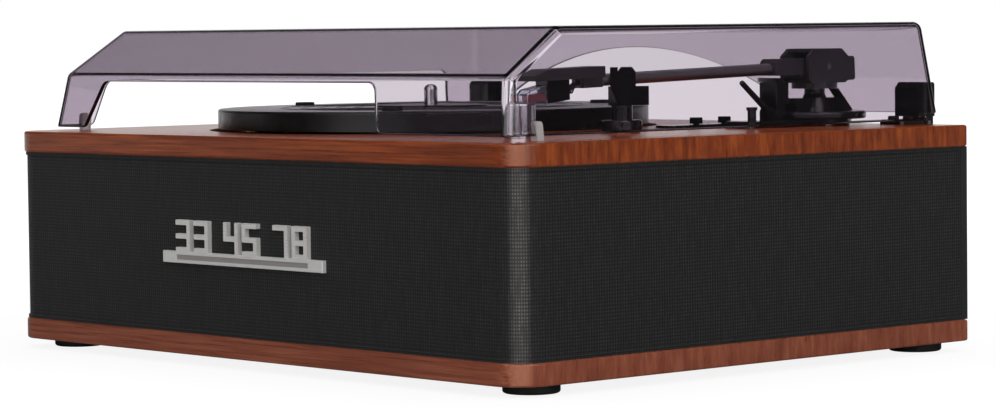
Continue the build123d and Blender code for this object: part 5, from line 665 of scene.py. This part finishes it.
class Studio(bpy.types.Operator):
    """Set up the floor, lamps, surrounding light and camera"""
    bl_idname = "record_player.studio"
    bl_label = "Studio"

    def execute(self, context):
        looks = context.scene.record_player_studio
        scene = context.scene
        scene.view_settings.view_transform = "Standard"
        self.floor(looks)
        self.sky(scene, looks)
        middle = Vector((0.0, 0.0, 0.08))
        # Name, place and side in metres, power, and whether mirrors show it. From behind, the front
        # one's image would fill the cover's top with white. Seen from high in front, the top one's
        # image would lie as a haze on the cover.
        lamps = [("left_softbox", (-1.1, -1.7, 1.3), 1.3, looks.left_lamp, True),
                 ("right_softbox", (1.9, -0.4, 1.2), 1.3, looks.right_lamp, True),
                 ("top_softbox", (-0.1, 0.2, 1.6), 1.4, looks.top_lamp, False),
                 ("front_softbox", (1.7, -1.3, 0.9), 0.9, looks.front_lamp, False)]
        for name, place, size, power, mirrored in lamps:
            self.lamp(name, Vector(place), middle, size, power, mirrored)
        self.camera(scene, looks)
        return {"FINISHED"}

    def away(self, looks):
        """Level direction in which the camera looks."""
        return (-math.sin(looks.heading), math.cos(looks.heading), 0.0)

    def across(self, looks):
        """Level direction to the camera's right."""
        return (math.cos(looks.heading), math.sin(looks.heading), 0.0)

    def along(self, tree, vector, way):
        """How far a vector goes a given way."""
        product = add_node(tree, "ShaderNodeVectorMath", {0: vector, 1: way}, operation="DOT_PRODUCT")
        return product.outputs["Value"]

    def mirror_or_glass(self, tree, rays):
        """One for rays that come off a mirror or through glass."""
        either = add_node(tree, "ShaderNodeMath", {
            0: rays.outputs["Is Glossy Ray"], 1: rays.outputs["Is Transmission Ray"]},
            operation="MAXIMUM")
        return either.outputs[0]

    def backdrop(self, tree, vector, looks, low, high):
        """Share of white, from the room behind the camera to the backdrop beyond the object."""
        return span(tree, self.along(tree, vector, self.away(looks)), low, high, looks.room, 1.0)

    def floor(self, looks):
        """White floor that shows the object's shadow and runs on into the white backdrop."""
        deselect_all()
        gap = 0.2 * MM
        bpy.ops.mesh.primitive_plane_add(size=looks.floor_size, location=(0, 0, -gap))
        floor = bpy.context.object
        floor.name = "studio_floor"
        material, tree, coordinates = new_material("matt white floor")
        place = coordinates.outputs["Object"]
        rays = add_node(tree, "ShaderNodeLightPath")
        reach = add_node(tree, "ShaderNodeVectorMath", {0: place}, operation="LENGTH")
        # The glow rises from 0.88 by the object to 1.06 from 1.1 m out, to meet the backdrop's white
        far = span(tree, reach.outputs["Value"], 0.35, 1.1, 0.88, 1.06)
        # Mirrors see the floor dark up to 0.15 m beyond the object's middle and white from 0.6 m
        mirrored = add_node(tree, "ShaderNodeMath", {
            0: far, 1: self.backdrop(tree, place, looks, 0.15, 0.6)}, operation="MULTIPLY")
        glow = add_node(tree, "ShaderNodeMix", {
            0: rays.outputs["Is Camera Ray"], 2: mirrored.outputs[0], 3: far})
        matt = add_node(tree, "ShaderNodeBsdfDiffuse", {"Color": (0.8, 0.8, 0.8, 1)})
        dim = add_node(tree, "ShaderNodeBsdfDiffuse", {"Color": (0.16, 0.16, 0.16, 1)})
        lit = add_node(tree, "ShaderNodeEmission", {"Color": (1, 1, 1, 1), "Strength": glow.outputs[0]})
        pale = add_node(tree, "ShaderNodeAddShader", {0: dim.outputs[0], 1: lit.outputs[0]})
        seen = add_node(tree, "ShaderNodeMath", {
            0: rays.outputs["Is Camera Ray"], 1: self.mirror_or_glass(tree, rays)}, operation="MAXIMUM")
        surface = add_node(tree, "ShaderNodeMixShader", {
            0: seen.outputs[0], 1: matt.outputs[0], 2: pale.outputs[0]})
        add_node(tree, "ShaderNodeOutputMaterial", {"Surface": surface.outputs[0]})
        floor.data.materials.append(material)

    def strips(self, tree, vector, looks):
        """Two upright strip lights to either side behind the camera, seen in metal and lacquer."""
        side = self.along(tree, vector, self.across(looks))
        side = add_node(tree, "ShaderNodeMath", {0: side}, operation="ABSOLUTE")
        off_middle = add_node(tree, "ShaderNodeMath", {
            0: side.outputs[0], 1: looks.strip_place}, operation="SUBTRACT")
        off_middle = add_node(tree, "ShaderNodeMath", {0: off_middle.outputs[0]}, operation="ABSOLUTE")
        strip = span(tree, off_middle.outputs[0], looks.strip_half, looks.strip_half + looks.strip_fade,
                     looks.strip_light, 0.0)
        # Only behind the camera: the cosine against its view runs from -0.35 to -0.25 at their edge
        behind = span(tree, self.along(tree, vector, self.away(looks)), -0.35, -0.25, 1.0, 0.0)
        return add_node(tree, "ShaderNodeMath", {0: strip, 1: behind}, operation="MULTIPLY").outputs[0]

    def sky(self, scene, looks):
        """Even surrounding light. Camera, mirror and glass see a white backdrop beyond the object, and
        mirror and glass a dark room behind the camera."""
        world = bpy.data.worlds.new("studio_surround")
        scene.world = world
        world.use_nodes = True
        tree = world.node_tree
        tree.nodes.clear()
        rays = add_node(tree, "ShaderNodeLightPath")
        way = add_node(tree, "ShaderNodeTexCoord")
        # White only where a ray goes nearly the camera's way, by the cosine between the two
        shade = self.backdrop(tree, way.outputs["Generated"], looks, 0.8, 0.97)
        strips = self.strips(tree, way.outputs["Generated"], looks)
        bright = add_node(tree, "ShaderNodeMath", {0: shade, 1: strips}, operation="MAXIMUM")
        mirrored = add_node(tree, "ShaderNodeBackground", {
            "Color": (1, 1, 1, 1), "Strength": bright.outputs[0]})
        white = add_node(tree, "ShaderNodeBackground", {"Color": (1, 1, 1, 1), "Strength": 1.0})
        fill = add_node(tree, "ShaderNodeBackground", {"Color": (1, 1, 1, 1), "Strength": looks.sky})
        glossy = add_node(tree, "ShaderNodeMixShader", {
            0: self.mirror_or_glass(tree, rays), 1: fill.outputs[0], 2: mirrored.outputs[0]})
        surface = add_node(tree, "ShaderNodeMixShader", {
            0: rays.outputs["Is Camera Ray"], 1: glossy.outputs[0], 2: white.outputs[0]})
        add_node(tree, "ShaderNodeOutputWorld", {"Surface": surface.outputs[0]})

    def lamp(self, name, place, target, size, power, mirrored):
        """Square softbox that faces the object."""
        data = bpy.data.lights.new(name, "AREA")
        data.shape = "SQUARE"
        data.size = size
        data.energy = power
        lamp = bpy.data.objects.new(name, data)
        bpy.context.scene.collection.objects.link(lamp)
        lamp.location = place
        lamp.rotation_euler = (target - place).to_track_quat("-Z", "Y").to_euler()
        lamp.visible_glossy = mirrored

    def camera(self, scene, looks):
        """Camera at the photograph's height and angle."""
        data = bpy.data.cameras.new("camera")
        data.lens = looks.lens
        data.sensor_width = 36.0
        data.clip_end = 50.0
        camera = bpy.data.objects.new("camera", data)
        scene.collection.objects.link(camera)
        camera.location = looks.stand
        turn = Euler((math.pi / 2 - looks.tilt, 0.0, looks.heading), "XYZ").to_matrix()
        camera.rotation_euler = (turn @ Matrix.Rotation(looks.roll, 3, "Z")).to_euler()
        scene.camera = camera


GROUPS = (("record_player_cabinet", CabinetLooks), ("record_player_cover", CoverLooks),
          ("record_player_deck", DeckLooks), ("record_player_studio", StudioLooks))
STEPS = (CabinetFinish, CoverFinish, CoverSheet, DeckFinish, InnerFinish, PlatterRidges, SwitchPrint, Studio)


class RecordPlayerPanel(bpy.types.Panel):
    """Settings and steps of the record player"""
    bl_idname = "VIEW3D_PT_record_player"
    bl_label = "Record player"
    bl_space_type = "VIEW_3D"
    bl_region_type = "UI"
    bl_category = "Record player"

    def draw(self, context):
        for name, group in GROUPS:
            box = self.layout.box()
            settings = getattr(context.scene, name)
            for setting in group.__annotations__:
                box.prop(settings, setting)
        for step in STEPS:
            self.layout.operator(step.bl_idname)


def register():
    for name, group in GROUPS:
        bpy.utils.register_class(group)
        setattr(bpy.types.Scene, name, PointerProperty(type=group))
    for step in STEPS:
        bpy.utils.register_class(step)
    bpy.utils.register_class(RecordPlayerPanel)


def unregister():
    bpy.utils.unregister_class(RecordPlayerPanel)
    for step in reversed(STEPS):
        bpy.utils.unregister_class(step)
    for name, group in reversed(GROUPS):
        delattr(bpy.types.Scene, name)
        bpy.utils.unregister_class(group)


def main():
    register()
    for step in STEPS:
        family, name = step.bl_idname.split(".")
        getattr(getattr(bpy.ops, family), name)()


if __name__ == "__main__":
    main()
